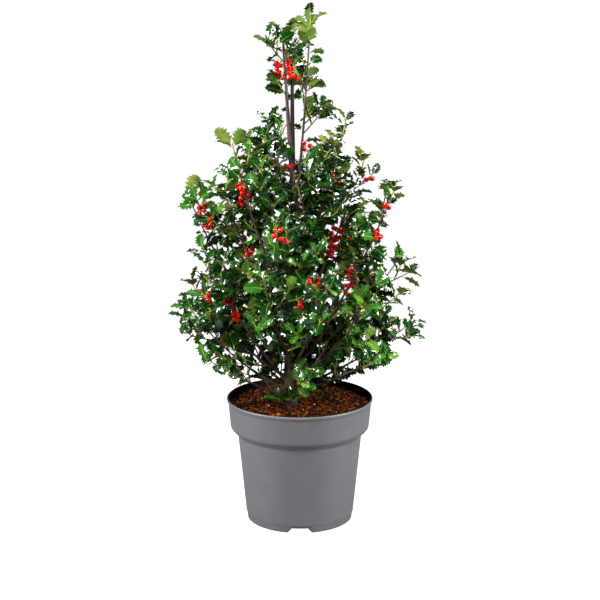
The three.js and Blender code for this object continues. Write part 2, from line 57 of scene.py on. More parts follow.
studio = {
    "white": 1.0,  # what the backdrop shows
    "ambient": 0.024,  # what it sheds on the plant
    "ambientColour": (0.94, 0.97, 1, 1),
    "lamps": [
        # name, place, aim, width, height, watts
        ("left softbox", (-2.0, -0.75, 1.3), (0, 0, 0.45), 0.45, 0.9, 118),
        ("right softbox", (2.0, -0.7, 1.2), (0, 0, 0.45), 0.45, 0.9, 114),
        ("front softbox", (-0.4, -2.6, 2.1), (0, 0, 0.4), 0.5, 0.4, 66),
        ("top softbox", (0, -0.2, 2.5), (0, 0, 0.3), 0.6, 0.6, 55),
        ("back softbox", (0.3, 2.0, 1.6), (0, 0, 0.6), 1.0, 0.8, 44),
    ],
}


def feed(tree, socket, value):
    # A socket is linked and a plain value is set.
    if isinstance(value, bpy.types.NodeSocket):
        tree.links.new(value, socket)
    else:
        socket.default_value = value


def addNode(tree, kind, settings=None, **inputs):
    # Inputs are given by name, spaces as underscores.
    node = tree.nodes.new("ShaderNode" + kind)
    for name, value in (settings or {}).items():
        setattr(node, name, value)
    for name, value in inputs.items():
        feed(tree, node.inputs[name.replace("_", " ")], value)
    return node


def aimAt(thing, target):
    way = Vector(target) - thing.location
    thing.rotation_euler = way.to_track_quat("-Z", "Y").to_euler()


def makeCamera():
    data = bpy.data.cameras.new("camera")
    data.lens = view["lens"]
    data.sensor_width = view["sensor"]
    data.clip_end = view["clipEnd"]
    camera = bpy.data.objects.new("camera", data)
    camera.location = (view["aside"], -view["distance"], view["height"])
    camera.rotation_euler = (radians(90 - view["tilt"]), 0, 0)
    scene.collection.objects.link(camera)
    scene.camera = camera


def makeStudio():
    scene.view_settings.view_transform = "Standard"
    world = bpy.data.worlds.new("studio")
    scene.world = world
    world.use_nodes = True
    tree = world.node_tree
    tree.nodes.clear()
    seen = addNode(tree, "Background", Strength=studio["white"], Color=(1, 1, 1, 1))
    lit = addNode(tree, "Background", Strength=studio["ambient"], Color=studio["ambientColour"])
    path = addNode(tree, "LightPath")
    mix = addNode(tree, "MixShader")
    for socket, value in zip(mix.inputs, (path.outputs["Is Camera Ray"], lit.outputs[0], seen.outputs[0])):
        feed(tree, socket, value)
    addNode(tree, "OutputWorld", Surface=mix.outputs[0])
    for name, place, target, width, height, watts in studio["lamps"]:
        data = bpy.data.lights.new(name, "AREA")
        data.shape = "RECTANGLE"
        data.size, data.size_y, data.energy = width, height, watts
        lamp = bpy.data.objects.new(name, data)
        lamp.location = place
        aimAt(lamp, target)
        scene.collection.objects.link(lamp)


makeCamera()
makeStudio()
print("camera and lamps")


# Mesh building

class Batch:
    # Gathers many small shapes, with a material slot for each face, into one mesh.
    def __init__(self):
        self.points, self.faces, self.slots, self.count = [], [], [], 0

    def add(self, points, faces, slot=0):
        points = np.asarray(points, float).reshape(-1, 3)
        faces = np.asarray(faces, int)
        self.points.append(points)
        self.faces.append(faces + self.count)
        self.slots.append(np.broadcast_to(np.asarray(slot, int), len(faces)))
        self.count += len(points)

    def build(self, name, materials, smooth=True, leafMap=None):
        points = np.concatenate(self.points) / 1000
        corners = np.concatenate([f.ravel() for f in self.faces])
        sizes = np.concatenate([np.full(len(f), f.shape[1]) for f in self.faces])
        mesh = bpy.data.meshes.new(name)
        mesh.vertices.add(len(points))
        mesh.vertices.foreach_set("co", points.astype(np.float32).ravel())
        mesh.loops.add(len(corners))
        mesh.loops.foreach_set("vertex_index", corners.astype(np.int32))
        mesh.polygons.add(len(sizes))
        starts = np.concatenate([[0], np.cumsum(sizes)[:-1]])
        mesh.polygons.foreach_set("loop_start", starts.astype(np.int32))
        mesh.polygons.foreach_set("material_index", np.concatenate(self.slots).astype(np.int32))
        mesh.polygons.foreach_set("use_smooth", np.full(len(sizes), smooth))
        mesh.update(calc_edges=True)
        if leafMap is not None:
            layer = mesh.uv_layers.new(name="leafMap")
            layer.uv.foreach_set("vector", leafMap[corners].astype(np.float32).ravel())
        for material in materials:
            mesh.materials.append(material)
        thing = bpy.data.objects.new(name, mesh)
        scene.collection.objects.link(thing)
        return thing


def unit(v):
    return v / np.maximum(np.linalg.norm(v, axis=-1, keepdims=True), 1e-12)


def turned(v, axis, angle):
    return v * cos(angle) + np.cross(axis, v) * sin(angle) + axis * np.dot(axis, v) * (1 - cos(angle))


def bearing(degrees):
    return np.array([cos(radians(degrees)), sin(radians(degrees)), 0])


def crossAxes(way):
    # Two directions across a shoot, steady along it.
    way = unit(np.asarray(way, float))
    spare = np.array([0.0, 0, 1]) if abs(way[2]) < 0.92 else np.array([1.0, 0, 0])
    first = unit(np.cross(way, spare))
    return first, np.cross(way, first)


def ringFaces(rings, sides):
    faces = []
    for i in range(rings - 1):
        for j in range(sides):
            a, b = i * sides + j, i * sides + (j + 1) % sides
            faces.append((a, b, b + sides, a + sides))
    return faces


def ringPoints(radius, sides, z=0):
    return [(radius * cos(2 * pi * j / sides), radius * sin(2 * pi * j / sides), z) for j in range(sides)]


def between(limits, share):
    return limits[0] + (limits[1] - limits[0]) * share


def byChance(pair, draw):
    # A least value, and up to so much more.
    return pair[0] + pair[1] * draw()


tubeEnd = 0.7  # how far a capped end stands out, in its own radius


def addTube(batch, line, radii, sides, slot=0, relief=None, cap=True):
    # A round limb along a line of points, with an optional relief(angle, number) in millimetres.
    line = np.asarray(line, float)
    ways = unit(np.gradient(line, axis=0))
    first = crossAxes(ways[0])[0]
    points = []
    for i, (centre, way) in enumerate(zip(line, ways)):
        first = unit(first - way * np.dot(first, way))
        second = np.cross(way, first)
        for j in range(sides):
            angle = 2 * pi * j / sides
            radius = radii[i] + (relief(angle, i) if relief else 0)
            points.append(centre + (first * cos(angle) + second * sin(angle)) * radius)
    batch.add(points, ringFaces(len(line), sides), slot)
    if cap:
        end = line[-1] + ways[-1] * radii[-1] * tubeEnd
        batch.add(points[-sides:] + [end], [(j, (j + 1) % sides, sides) for j in range(sides)], slot)


# The lines of the plant, by the same rule and sizes as the solids

gap = 0.3  # between a bough's tip and the foliage that goes on from it

trunkSizes = {
    "foot": 218.0,
    "cut": 222,  # where the solid trunk is cut flat
    "top": 886.0,
    # height, and how far the axis stands off the pot's middle
    "bends": [(222, -18, 0), (350, -21, 3), (620, -13, -2), (886, -14, 0)],
    # height and radius
    "girths": [(222, 14), (238, 11.4), (275, 10), (400, 8), (620, 5.2), (886, 3)],
    "sides": 30,
    "step": 3.5,
    # the bark's relief: height, size, stretch, and the trunk's radius where it is full
    "grain": (0.42, 3.2, 0.22, 8),
    "mostGrain": 1.6,
    "waves": (0.7, 16, 0.35, 12),
    "reliefReach": 10,
    "flareHeight": 34,
    "toes": [(0.13, 3, 0), (0.06, 5, 1)],  # swell, number round the foot, and turn
    "knotRise": 1.6,  # the swelling under each bough's foot
    "knotLift": 4,
    "knotReach": 16,
    "knotSize": (1.7, 1.5),  # up and round, of the bough's radius
    # the small brown knob that has healed over the pruned top: height above it and radius
    "knob": [(-3, 3.0), (-1, 3.9), (1, 4.2), (3, 3.6), (4.4, 2.2), (5, 0.8)],
    "knobSides": 14,
    "knobRelief": 0.35,
}

# The crown's outline, as height, radius and how far its middle stands off the pot's.
crownOutline = [
    (232, 118, 0), (290, 172, 0), (330, 204, 0), (370, 238, 0), (480, 234, -2), (528, 204, 6),
    (552, 176, -6), (580, 190, -16), (625, 208, -26), (655, 198, -8), (686, 138, 10), (720, 128, -26),
    (750, 106, -8), (775, 102, 12), (804, 76, -6), (850, 62, -12), (925, 64, -16), (955, 52, -8),
    (990, 26, 8),
]
underside = {"height": 216, "rise": 0.56}  # of the crown, from the trunk's axis outwards
potMouth = {"rimTop": 244, "clearRadius": 121.5, "soilTop": 226}  # what the foliage keeps off

# name: foot height, bearing in degrees, reach, top height, bow, bare share, region
boughColumns = ("foot", "turn", "reach", "top", "bow", "wood", "region")
boughTable = {
    "low_right": (241, -32, 200, 350, 0.02, 0.3, "right"),
    "right": (253, -9, 230, 394, 0.04, 0.3, "right"),
    "wide_right": (266, 15, 218, 500, 0.03, 0.34, "right"),
    "tall_right": (274, -21, 204, 650, 0.03, 0.36, "right"),
    "upper_right": (369, 18, 150, 690, 0.03, 0.36, "right"),
    "high_right": (450, -27, 114, 774, 0.03, 0.34, "right"),
    "right_leader": (536, -25, 37, 956, 0.01, 0.42, "top"),
    "left_leader": (640, 196, 19, 930, 0, 0.46, "top"),
    "upper_left": (411, 212, 120, 732, 0.03, 0.36, "left"),
    "inner_left": (372, 190, 120, 634, 0.03, 0.34, "left"),
    "wide_left": (331, 176, 190, 630, 0.05, 0.38, "left"),
    "tall_left": (260, 210, 180, 520, 0.02, 0.34, "left"),
    "left": (272, 171, 190, 456, 0.06, 0.3, "left"),
    "low_left": (249, 198, 194, 426, 0.06, 0.3, "left"),
    "lowest_left": (238, 217, 198, 350, 0.03, 0.3, "left"),
    "front_left": (322, 255, 168, 508, 0.06, 0.28, "front"),
    "front_right": (292, 292, 188, 504, 0.06, 0.28, "front"),
    "back_low_right": (252, 48, 196, 385, 0.05, 0.3, "back"),
    "back_low": (262, 94, 195, 372, 0.05, 0.3, "back"),
    "back_low_left": (256, 138, 200, 392, 0.05, 0.3, "back"),
    "back_right": (296, 68, 188, 504, 0.06, 0.32, "back"),
    "back_left": (302, 116, 186, 510, 0.06, 0.32, "back"),
    "middle_right": (304, 3, 208, 438, 0.04, 0, "right"),
    "high_left": (593, 222, 62, 775, 0.03, 0, "left"),
    "upper_left_front": (504, 240, 108, 690, 0.03, 0, "front"),
    "front": (431, 268, 142, 590, 0.05, 0, "front"),
    "upper_front": (508, 300, 92, 700, 0.03, 0, "front"),
    "low_front_right": (268, 318, 186, 440, 0.05, 0, "front"),
    "sprout": (250, 300, 52, 298, 0.02, 0, "front"),
    "back_wide_right": (330, 36, 172, 592, 0.06, 0, "back"),
    "back_upper_right": (400, 66, 138, 660, 0.05, 0, "back"),
    "back_upper_left": (392, 140, 142, 655, 0.05, 0, "back"),
    "back_high_right": (500, 40, 104, 724, 0.03, 0, "back"),
    "back_high_left": (520, 150, 96, 728, 0.03, 0, "back"),
}

limbs = {name: dict(zip(boughColumns, row)) for name, row in boughTable.items()}
stout = {"left_leader": 1.5}  # girth against another bough of its length
tipShoot = (6, 12, 44)  # from the trunk's top
limbSizes = {
    "footRadius": 3.5,
    "footLeast": 0.6,  # of that, for a short bough
    "footShare": 0.42,  # how much thicker a long bough is
    "long": 400,
    "tipRadius": 1.6,
    "taper": 0.8,
    "stemFoot": 1.1,  # of the wood's radius where the foliage takes over
    "sides": 12,
    "step": 4,
    "collarReach": 16,
    "collarSwell": 0.32,
    "collarFrom": 0.8,  # of the trunk's radius
    "overrun": 0.004,  # of the bough's length, into its foliage
    "relief": [(0.22, 2.6, 0.22), (0.34, 11, 0.6)],  # height, size and stretch
    "reliefReach": 6,
    "reliefApart": 37,  # between one bough's relief and the next one's
}

twigSizes = {
    "spacing": 44,
    "leafy": 0.84,  # share of a stem that counts for the number of its twigs
    "places": (0.08, 0.74),  # first place on the stem, and the share of it that bears twigs
    "shorter": (1.12, 0.5),  # length at the foot, and how much less at the tip
    # a pair with chance in its name: the least, and how much more the draw may add
    "lengthChance": (0.85, 0.3),
    "turnChance": 0.6,
    "bow": (0.06, 0.08),
    "stemTaper": 0.92,
    "spread": 0.84,
    "lift": 0.3,
    "length": 84,
    "lengths": (1, 0.8, 0.62, 0.45),  # shares tried until one finds room
    "tipReach": 18,  # of the leaves past a twig's end
    "footRadius": 1.5,
    "tipRadius": 0.95,
    "clearance": 3.4,  # between two twigs' axes
    # the finer twigs
    "stemSprays": (0.12, 0.66, 46),  # first and last share of a stem, and the spacing
    "twigSprays": (0.25, 0.62, 34),
    "sprayLength": 42,
    "sprayTurns": (0, 0.9, -0.9, 1.8),  # tried until one finds room, each at both lengths
    "sprayLengths": (1, 0.7),
    "sprayGirths": {"spray": 0.85, "heart": 1.1},
    "sprayTip": 0.9,
    "sprayTurn": 0.5,
    "sprayChance": (0.75, 0.5),
    "spraySpread": (0.75, 0.3),
    "sprayLift": 0.25,
    # how far a fine twig's end may stand in the next mass's space
    "sprayOverlap": 6,
    "heartOverlap": 40,
    "trunkOverlap": 60,
    "sprayTipReach": 14,
    "heartSpacing": 17,  # along the bare wood of boughs
    "heartFrom": 0.25,  # share of the bare wood below the first
    "heartLength": 58,
    "trunkSpacing": 12,
    "trunkShare": 0.9,
    "trunkChance": (0.7, 0.6),
    "trunkHearts": (300, 650),  # heights on the trunk
    # height, bearing in degrees and length of the small shoots at the trunk's foot
    "footShoots": [(229, 214, 20), (231, 262, 24), (238, 350, 26), (236, 110, 24)],
    "footShootRadii": (1.5, 1.0),
    "footLift": 0.35,
    "footInset": 0.8,  # of the trunk's radius
}


def seeded(seed):
    # The same numbers in the same order as the solids' own rule draws.
    state = seed

    def draw():
        nonlocal state
        state = (state * 1664525 + 1013904223) % 2**32
        return state / 2**32

    return draw


def along(rows, key, column=1):
    # A value that runs smoothly from row to row of a table, by its first column.
    i = 1
    while i < len(rows) - 1 and rows[i][0] < key:
        i += 1
    low, high = rows[i - 1], rows[i]
    share = min(1, max(0, (key - low[0]) / (high[0] - low[0])))
    share = share * share * (3 - 2 * share)
    return low[column] + (high[column] - low[column]) * share


def trunkAxis(z):
    return np.array([along(trunkSizes["bends"], z, 1), along(trunkSizes["bends"], z, 2), z])


class Line:
    # A smooth line with points at equal steps.
    def __init__(self, points, count=60):
        points = np.asarray(points, float)
        run = np.concatenate([[0], np.cumsum(np.linalg.norm(np.diff(points, axis=0), axis=1))])
        self.length = run[-1]
        places = np.linspace(0, run[-1], count)
        self.points = np.stack([np.interp(places, run, points[:, k]) for k in range(3)], 1)
        self.ways = unit(np.gradient(self.points, axis=0))

    def at(self, share):
        place = min(max(share, 0), 1) * (len(self.points) - 1)
        i = min(int(place), len(self.points) - 2)
        part = place - i
        point = self.points[i] * (1 - part) + self.points[i + 1] * part
        return point, unit(self.ways[i] * (1 - part) + self.ways[i + 1] * part)

    def stretch(self, a, b, count=40):
        return Line([self.at(a + (b - a) * i / (count - 1))[0] for i in range(count)], count)


def boughLine(limb):
    # A bough rises from its foot on the trunk to its top, and sags between them.
    foot, reach, top = limb["foot"], limb["reach"], limb["top"]
    start = trunkAxis(foot)
    out = bearing(limb["turn"])
    end = start + out * reach
    end[2] = top
    sag = out * (top - foot) - np.array([0, 0, 1]) * reach
    knee = (start + end) / 2 + sag * 2 * limb["bow"]
    t = np.linspace(0, 1, 200)[:, None]
    return Line((1 - t) ** 2 * start + 2 * t * (1 - t) * knee + t * t * end, 120)


def woodRadius(name, share):
    longest = min(1, paths[name].length / limbSizes["long"])
    foot = limbSizes["footRadius"] * (limbSizes["footLeast"] + limbSizes["footShare"] * longest)
    return stout.get(name, 1) * (foot + (limbSizes["tipRadius"] - foot) * share ** limbSizes["taper"])


def jointFrames(joints):
    # Turn-free frames at the joints of a straight-sided stem.
    ways = unit(np.diff(joints, axis=0))
    ways = unit(np.concatenate([ways[:1], ways[:-1] + ways[1:], ways[-1:]]))
    low = int(np.argmin(np.abs(ways[0])))
    spare = np.eye(3)[low]
    side = unit(np.cross(ways[0], spare))
    normals = [np.cross(ways[0], side)]
    for a, b in zip(ways[:-1], ways[1:]):
        normal = normals[-1]
        axis = np.cross(a, b)
        if np.linalg.norm(axis) > 1e-9:
            angle = np.arccos(np.clip(np.dot(a, b), -1, 1))
            normal = turned(normal, unit(axis), angle)
        normals.append(normal)
    normals = np.array(normals)
    return normals, np.cross(ways, normals)


def crownHolds(point, slack=0):
    # Whether the crown reaches a point, with slack millimetres more of it outwards and upwards.
    x, y, z = point
    radius = hypot(x - along(crownOutline, z, 2), y)
    overRim = z > potMouth["rimTop"] or radius < potMouth["clearRadius"]
    fromTrunk = hypot(x - trunkSizes["bends"][0][1], y)
    overSoil = z > max(potMouth["soilTop"], underside["height"] + underside["rise"] * fromTrunk)
    inside = radius < along(crownOutline, z - slack) + slack
    return overSoil and overRim and inside and z < crownOutline[-1][0] + slack


paths = {name: boughLine(limb) for name, limb in limbs.items()}
tipFoot = trunkAxis(trunkSizes["top"])
paths["trunk_tip"] = Line([tipFoot, tipFoot + np.array(tipShoot)])
masses = []


def addMass(name, region, wood, stem, seed):
    # The foliage of one bough, of one part of the trunk, or of the trunk's tip.
    foot = woodRadius(name, wood or 0.3) * limbSizes["stemFoot"]
    masses.append({"name": name, "region": region, "wood": wood, "path": paths[name], "stem": stem,
                   "draw": seeded(seed), "foot": foot})


for number, (name, limb) in enumerate(limbs.items()):
    wood = limb["wood"]
    start = wood + gap / paths[name].length if wood else 0
    addMass(name, limb["region"], wood, paths[name].stretch(start, 1), 101 + 17 * number)
addMass("trunk_tip", "top", 0, paths["trunk_tip"], 7)


def spineOf(mass):
    # Ten points that stand for the mass where space is shared out.
    return [mass["stem"].at(i / 9 if mass["wood"] else 0.1 + i / 10)[0] for i in range(10)]


spines = np.array([spineOf(mass) for mass in masses])


def inOwnSpace(number, point, over, slack=0):
    # Whether a point is nearer to its own mass than to any other, or past that by less than over.
    far = np.linalg.norm(spines - point, axis=2).min(axis=1)
    return crownHolds(point, slack) and (np.delete(far, number) > far[number] - over).all()


# Shoots: each mass's stem, its twigs, and the finer ones

spiral = 2.4  # radians from one twig or leaf to the next round a shoot
shoots = []
segments = []  # every twig so far as (start, end)


def segmentGap(start, end):
    # The least distance from a new twig to those that stand already.
    a, b = np.array([s[0] for s in segments]), np.array([s[1] for s in segments])
    t = np.linspace(0.2, 1, 7)[:, None, None]
    probe = start + (end - start) * t
    way = b - a
    share = np.clip(((probe - a) * way).sum(-1) / np.maximum((way * way).sum(-1), 1e-9), 0, 1)
    return np.linalg.norm(probe - (a + way * share[..., None]), axis=-1).min()


def hasRoom(number, foot, end, leafEnd, over=0):
    if not inOwnSpace(number, end, over) or not crownHolds(leafEnd):
        return False
    return segmentGap(foot, end) >= twigSizes["clearance"]


def addShoot(number, line, kind, radii):
    shoots.append({"number": number, "mass": masses[number], "line": line, "kind": kind, "radii": radii})
    joints = [line.at(i / 4)[0] for i in range(5)]
    segments.extend(zip(joints[:-1], joints[1:]))


def curvedTwig(foot, way, length, draw):
    # A twig leaves on its bearing and turns up a little to the light.
    lift = np.array([0, 0, 1]) * length * byChance(twigSizes["bow"], draw)
    t = np.linspace(0, 1, 9)[:, None]
    return Line(foot + way * length * t + lift * t * t - lift * t, 14)


def growStem(number, mass):
    tip = twigSizes["tipRadius"] * stout.get(mass["name"], 1) ** 2
    addShoot(number, mass["stem"], "stem", (mass["foot"] * twigSizes["stemTaper"], tip))


def growTwigs(number, mass):
    stem, draw = mass["stem"], mass["draw"]
    joints = np.array([stem.at(i / 3)[0] for i in range(4)])
    normals, binormals = jointFrames(joints)
    count = round(stem.length * twigSizes["leafy"] / twigSizes["spacing"])
    start, run = twigSizes["places"]
    longest, less = twigSizes["shorter"]
    for k in range(count):
        share = start + run * (k + 0.2 + 0.6 * draw()) / count
        length = twigSizes["length"] * (longest - less * share) * byChance(twigSizes["lengthChance"], draw)
        leaning = (draw() - 0.5) * twigSizes["turnChance"]
        foot, way = stem.at(share)
        i = min(int(share * 3), 2)
        part = share * 3 - i
        angle = 2 * pi * (k + 0.5) / 3
        normal = normals[i] * (1 - part) + normals[i + 1] * part
        binormal = binormals[i] * (1 - part) + binormals[i + 1] * part
        radial = turned(unit(normal * cos(angle) + binormal * sin(angle)), way, leaning)
        out = unit(way * cos(twigSizes["spread"]) + radial * sin(twigSizes["spread"]))
        out = unit(out + (0, 0, twigSizes["lift"]))
        for size in twigSizes["lengths"]:
            end = foot + out * length * size
            if hasRoom(number, foot, end, end + out * twigSizes["tipReach"]):
                line = curvedTwig(foot, out, length * size, draw)
                addShoot(number, line, "twig", (twigSizes["footRadius"], twigSizes["tipRadius"]))
                break


def growSpray(number, line, places, length, draw, kind, over):
    # Finer twigs on a line, in a spiral, each as long as it finds room for.
    phase = draw() * 2 * pi
    foot = twigSizes["footRadius"] * twigSizes["sprayGirths"][kind]
    radii = (foot, twigSizes["tipRadius"] * twigSizes["sprayTip"])
    tries = [(turn, size) for turn in twigSizes["sprayTurns"] for size in twigSizes["sprayLengths"]]
    for k, share in enumerate(places):
        foot, way = line.at(share)
        first, second = crossAxes(way)
        angle = phase + k * spiral + (draw() - 0.5) * twigSizes["sprayTurn"]
        full = length * byChance(twigSizes["sprayChance"], draw)
        spread = byChance(twigSizes["spraySpread"], draw)
        for turn, size in tries:
            radial = first * cos(angle + turn) + second * sin(angle + turn)
            out = unit(way * cos(spread) + radial * sin(spread) + (0, 0, twigSizes["sprayLift"]))
            end = foot + out * full * size
            if hasRoom(number, foot, end, end + out * twigSizes["sprayTipReach"], over):
                addShoot(number, curvedTwig(foot, out, full * size, draw), kind, radii)
                break


def growSprays(shoot):
    first, last, spacing = twigSizes["stemSprays" if shoot["kind"] == "stem" else "twigSprays"]
    count = int(shoot["line"].length * (last - first) / spacing + 0.5)
    places = [first + (last - first) * (k + 0.5) / count for k in range(count)]
    growSpray(shoot["number"], shoot["line"], places, twigSizes["sprayLength"],
              shoot["mass"]["draw"], "spray", twigSizes["sprayOverlap"])


def growHearts(number, mass):
    # Short twigs on the bare wood, which fill the crown's heart.
    bare = mass["path"].length * mass["wood"]
    first = twigSizes["heartFrom"]
    count = int(bare * (1 - first) / twigSizes["heartSpacing"])
    places = [mass["wood"] * (first + (1 - first) * (k + 0.5) / count) for k in range(count)]
    growSpray(number, mass["path"], places, twigSizes["heartLength"],
              mass["draw"], "heart", twigSizes["heartOverlap"])


def growTrunkShoots(draw):
    height, top = twigSizes["trunkHearts"]
    length = twigSizes["heartLength"] * twigSizes["trunkShare"]
    while height < top:
        foot = trunkAxis(height)
        near = int(np.linalg.norm(spines - foot, axis=2).min(axis=1).argmin())
        line = Line([trunkAxis(height - 5), foot, trunkAxis(height + 5)])
        growSpray(near, line, [0.5], length, draw, "heart", twigSizes["trunkOverlap"])
        height += twigSizes["trunkSpacing"] * byChance(twigSizes["trunkChance"], draw)
    number = [mass["name"] for mass in masses].index("sprout")
    for height, turn, length in twigSizes["footShoots"]:
        out = bearing(turn) + (0, 0, twigSizes["footLift"])
        foot = trunkAxis(height) + out * along(trunkSizes["girths"], height) * twigSizes["footInset"]
        line = curvedTwig(foot, unit(out), length, draw)
        addShoot(number, line, "foot", twigSizes["footShootRadii"])


for number, mass in enumerate(masses):
    growStem(number, mass)
for number, mass in enumerate(masses):
    growTwigs(number, mass)
for shoot in list(shoots):
    growSprays(shoot)
for number, mass in enumerate(masses):
    if mass["wood"] and mass["region"] != "top":
        growHearts(number, mass)
growTrunkShoots(seeded(4001))
print("shoots:", len(shoots))


# Materials

def colour(r, g, b):
    # From display values, 0 to 255, to the linear values that shaders take.
    linear = [v / 255 for v in (r, g, b)]
    linear = [v / 12.92 if v <= 0.04045 else ((v + 0.055) / 1.055) ** 2.4 for v in linear]
    return (*linear, 1)


def newGroup(name, inputs, outputs):
    # inputs and outputs are (name, socket kind, default)
    tree = bpy.data.node_groups.new(name, "ShaderNodeTree")
    for title, kind, value in inputs:
        socket = tree.interface.new_socket(title, in_out="INPUT", socket_type=kind)
        socket.default_value = value
    for title, kind in outputs:
        tree.interface.new_socket(title, in_out="OUTPUT", socket_type=kind)
    return tree, tree.nodes.new("NodeGroupInput"), tree.nodes.new("NodeGroupOutput")


def mixColour(tree, factor, a, b):
    node = addNode(tree, "Mix", {"data_type": "RGBA"})
    for i, value in ((0, factor), (6, a), (7, b)):  # the colour sockets of a Mix node
        feed(tree, node.inputs[i], value)
    return node.outputs[2]


def mathNode(tree, operation, *values):
    node = addNode(tree, "Math", {"operation": operation})
    for socket, value in zip(node.inputs, values):
        feed(tree, socket, value)
    return node.outputs[0]


def spread(tree, value, low, high, fromLow=0.0, fromHigh=1.0):
    return addNode(tree, "MapRange", Value=value, From_Min=fromLow, From_Max=fromHigh,
                   To_Min=low, To_Max=high).outputs["Result"]


def makeSpeckleGroup():
    # Two sizes of mottling in object space: Mask goes from 0 to 1, Height feeds a bump.
    inputs = [("Scale", "NodeSocketFloat", 200.0), ("Stretch", "NodeSocketVector", (1, 1, 1)),
              ("Fine", "NodeSocketFloat", 0.4)]
    outputs = [("Mask", "NodeSocketFloat"), ("Height", "NodeSocketFloat")]
    tree, ins, outs = newGroup("speckle", inputs, outputs)
    place = addNode(tree, "TexCoord").outputs["Object"]
    drawn = addNode(tree, "VectorMath", {"operation": "MULTIPLY"})
    feed(tree, drawn.inputs[0], place)
    feed(tree, drawn.inputs[1], ins.outputs["Stretch"])
    broad = addNode(tree, "TexNoise", Vector=drawn.outputs[0], Scale=ins.outputs["Scale"], Detail=3.0)
    fineScale = mathNode(tree, "MULTIPLY", ins.outputs["Scale"], 5.3)
    fine = addNode(tree, "TexNoise", Vector=drawn.outputs[0], Scale=fineScale, Detail=2.0)
    both = addNode(tree, "Mix")
    for i, value in ((0, ins.outputs["Fine"]), (2, broad.outputs[0]), (3, fine.outputs[0])):
        feed(tree, both.inputs[i], value)
    mask = spread(tree, both.outputs[0], 0, 1, 0.32, 0.68)
    feed(tree, outs.inputs["Mask"], mask)
    feed(tree, outs.inputs["Height"], both.outputs[0])
    return tree


def makeVeinGroup():
    # A leaf's side veins, from its own map: u across the blade, v along it.
    inputs = [("Count", "NodeSocketFloat", 9.0), ("Slant", "NodeSocketFloat", 0.9)]
    tree, ins, outs = newGroup("leafVeins", inputs, [("Height", "NodeSocketFloat")])
    uv = addNode(tree, "UVMap", {"uv_map": "leafMap"}).outputs[0]
    parts = addNode(tree, "SeparateXYZ", Vector=uv)
    side = mathNode(tree, "ABSOLUTE", mathNode(tree, "SUBTRACT", parts.outputs[0], 0.5))
    place = addNode(tree, "TexCoord").outputs["Object"]
    wobble = addNode(tree, "TexNoise", Vector=place, Scale=160.0, Detail=1.0)
    slant = mathNode(tree, "MULTIPLY", side, ins.outputs["Slant"])
    lean = mathNode(tree, "SUBTRACT", parts.outputs[1], slant)
    lean = mathNode(tree, "ADD", lean, mathNode(tree, "MULTIPLY", wobble.outputs[0], 0.05))
    turns = mathNode(tree, "MULTIPLY", lean, ins.outputs["Count"])
    wave = mathNode(tree, "SINE", mathNode(tree, "MULTIPLY", turns, 2 * pi))
    vein = mathNode(tree, "POWER", mathNode(tree, "ABSOLUTE", wave), 9.0)
    feed(tree, outs.inputs["Height"], mathNode(tree, "SUBTRACT", 1.0, vein))
    return tree


speckleGroup = makeSpeckleGroup()
veinGroup = makeVeinGroup()


def newMaterial(name):
    material = bpy.data.materials.new(name)
    material.use_nodes = True
    tree = material.node_tree
    return material, tree, tree.nodes["Principled BSDF"]


def speckleIn(tree, scale, stretch=(1, 1, 1), fine=0.4):
    return addNode(tree, "Group", {"node_tree": speckleGroup}, Scale=scale, Stretch=stretch, Fine=fine)


def bumpFrom(tree, shader, height, strength, distance):
    bump = addNode(tree, "Bump", Strength=strength, Distance=distance, Height=height)
    feed(tree, shader.inputs["Normal"], bump.outputs[0])


def mottled(name, dark, light, scale, rough, bump, stretch=(1, 1, 1), fine=0.4, **sockets):
    # A surface between two colours, with roughness and relief from the same mottling.
    material, tree, shader = newMaterial(name)
    speckle = speckleIn(tree, scale, stretch, fine)
    shade = mixColour(tree, speckle.outputs["Mask"], colour(*dark), colour(*light))
    feed(tree, shader.inputs["Base Color"], shade)
    feed(tree, shader.inputs["Roughness"], spread(tree, speckle.outputs["Mask"], *rough))
    bumpFrom(tree, shader, speckle.outputs["Height"], *bump)
    for title, value in sockets.items():
        shader.inputs[title.replace("_", " ")].default_value = value
    return material


leafTones = {
    # upper side, rib, lower side
    "deep": ((2, 29, 2), (92, 128, 44), (84, 112, 42)),
    "dark": ((7, 49, 4), (104, 144, 48), (115, 131, 55)),
    "mid": ((34, 84, 15), (120, 160, 50), (134, 147, 64)),
    "fresh": ((73, 114, 31), (144, 182, 56), (146, 160, 70)),
    "young": ((110, 148, 56), (172, 206, 70), (160, 174, 80)),
}
leafFinish = {
    "specular": 0.12,
    "coatRough": 0.12,
    # roughness, depth of the veins and weight of the gloss coat
    "upper": ((0.18, 0.3), 0.18, 1.0),
    "rib": ((0.35, 0.5), 0.08, 0),
    "under": ((0.5, 0.66), 0.12, 0),
    "stalk": ((0.4, 0.55), 0.05, 0),
    "stalkTone": (164, 176, 58),
}


def leafMaterial(name, tone, finish):
    material, tree, shader = newMaterial(name)
    rough, veins, coat = leafFinish[finish]
    shader.inputs["Base Color"].default_value = colour(*tone)
    shader.inputs["Specular IOR Level"].default_value = leafFinish["specular"]
    shader.inputs["Coat Weight"].default_value = coat
    shader.inputs["Coat Roughness"].default_value = leafFinish["coatRough"]
    speckle = speckleIn(tree, 300, (1, 1, 1), 0.5)
    feed(tree, shader.inputs["Roughness"], spread(tree, speckle.outputs["Mask"], *rough))
    vein = addNode(tree, "Group", {"node_tree": veinGroup})
    pores = mathNode(tree, "MULTIPLY", speckle.outputs["Height"], 0.6)
    bumpFrom(tree, shader, mathNode(tree, "ADD", vein.outputs["Height"], pores), veins, 0.0004)
    return material


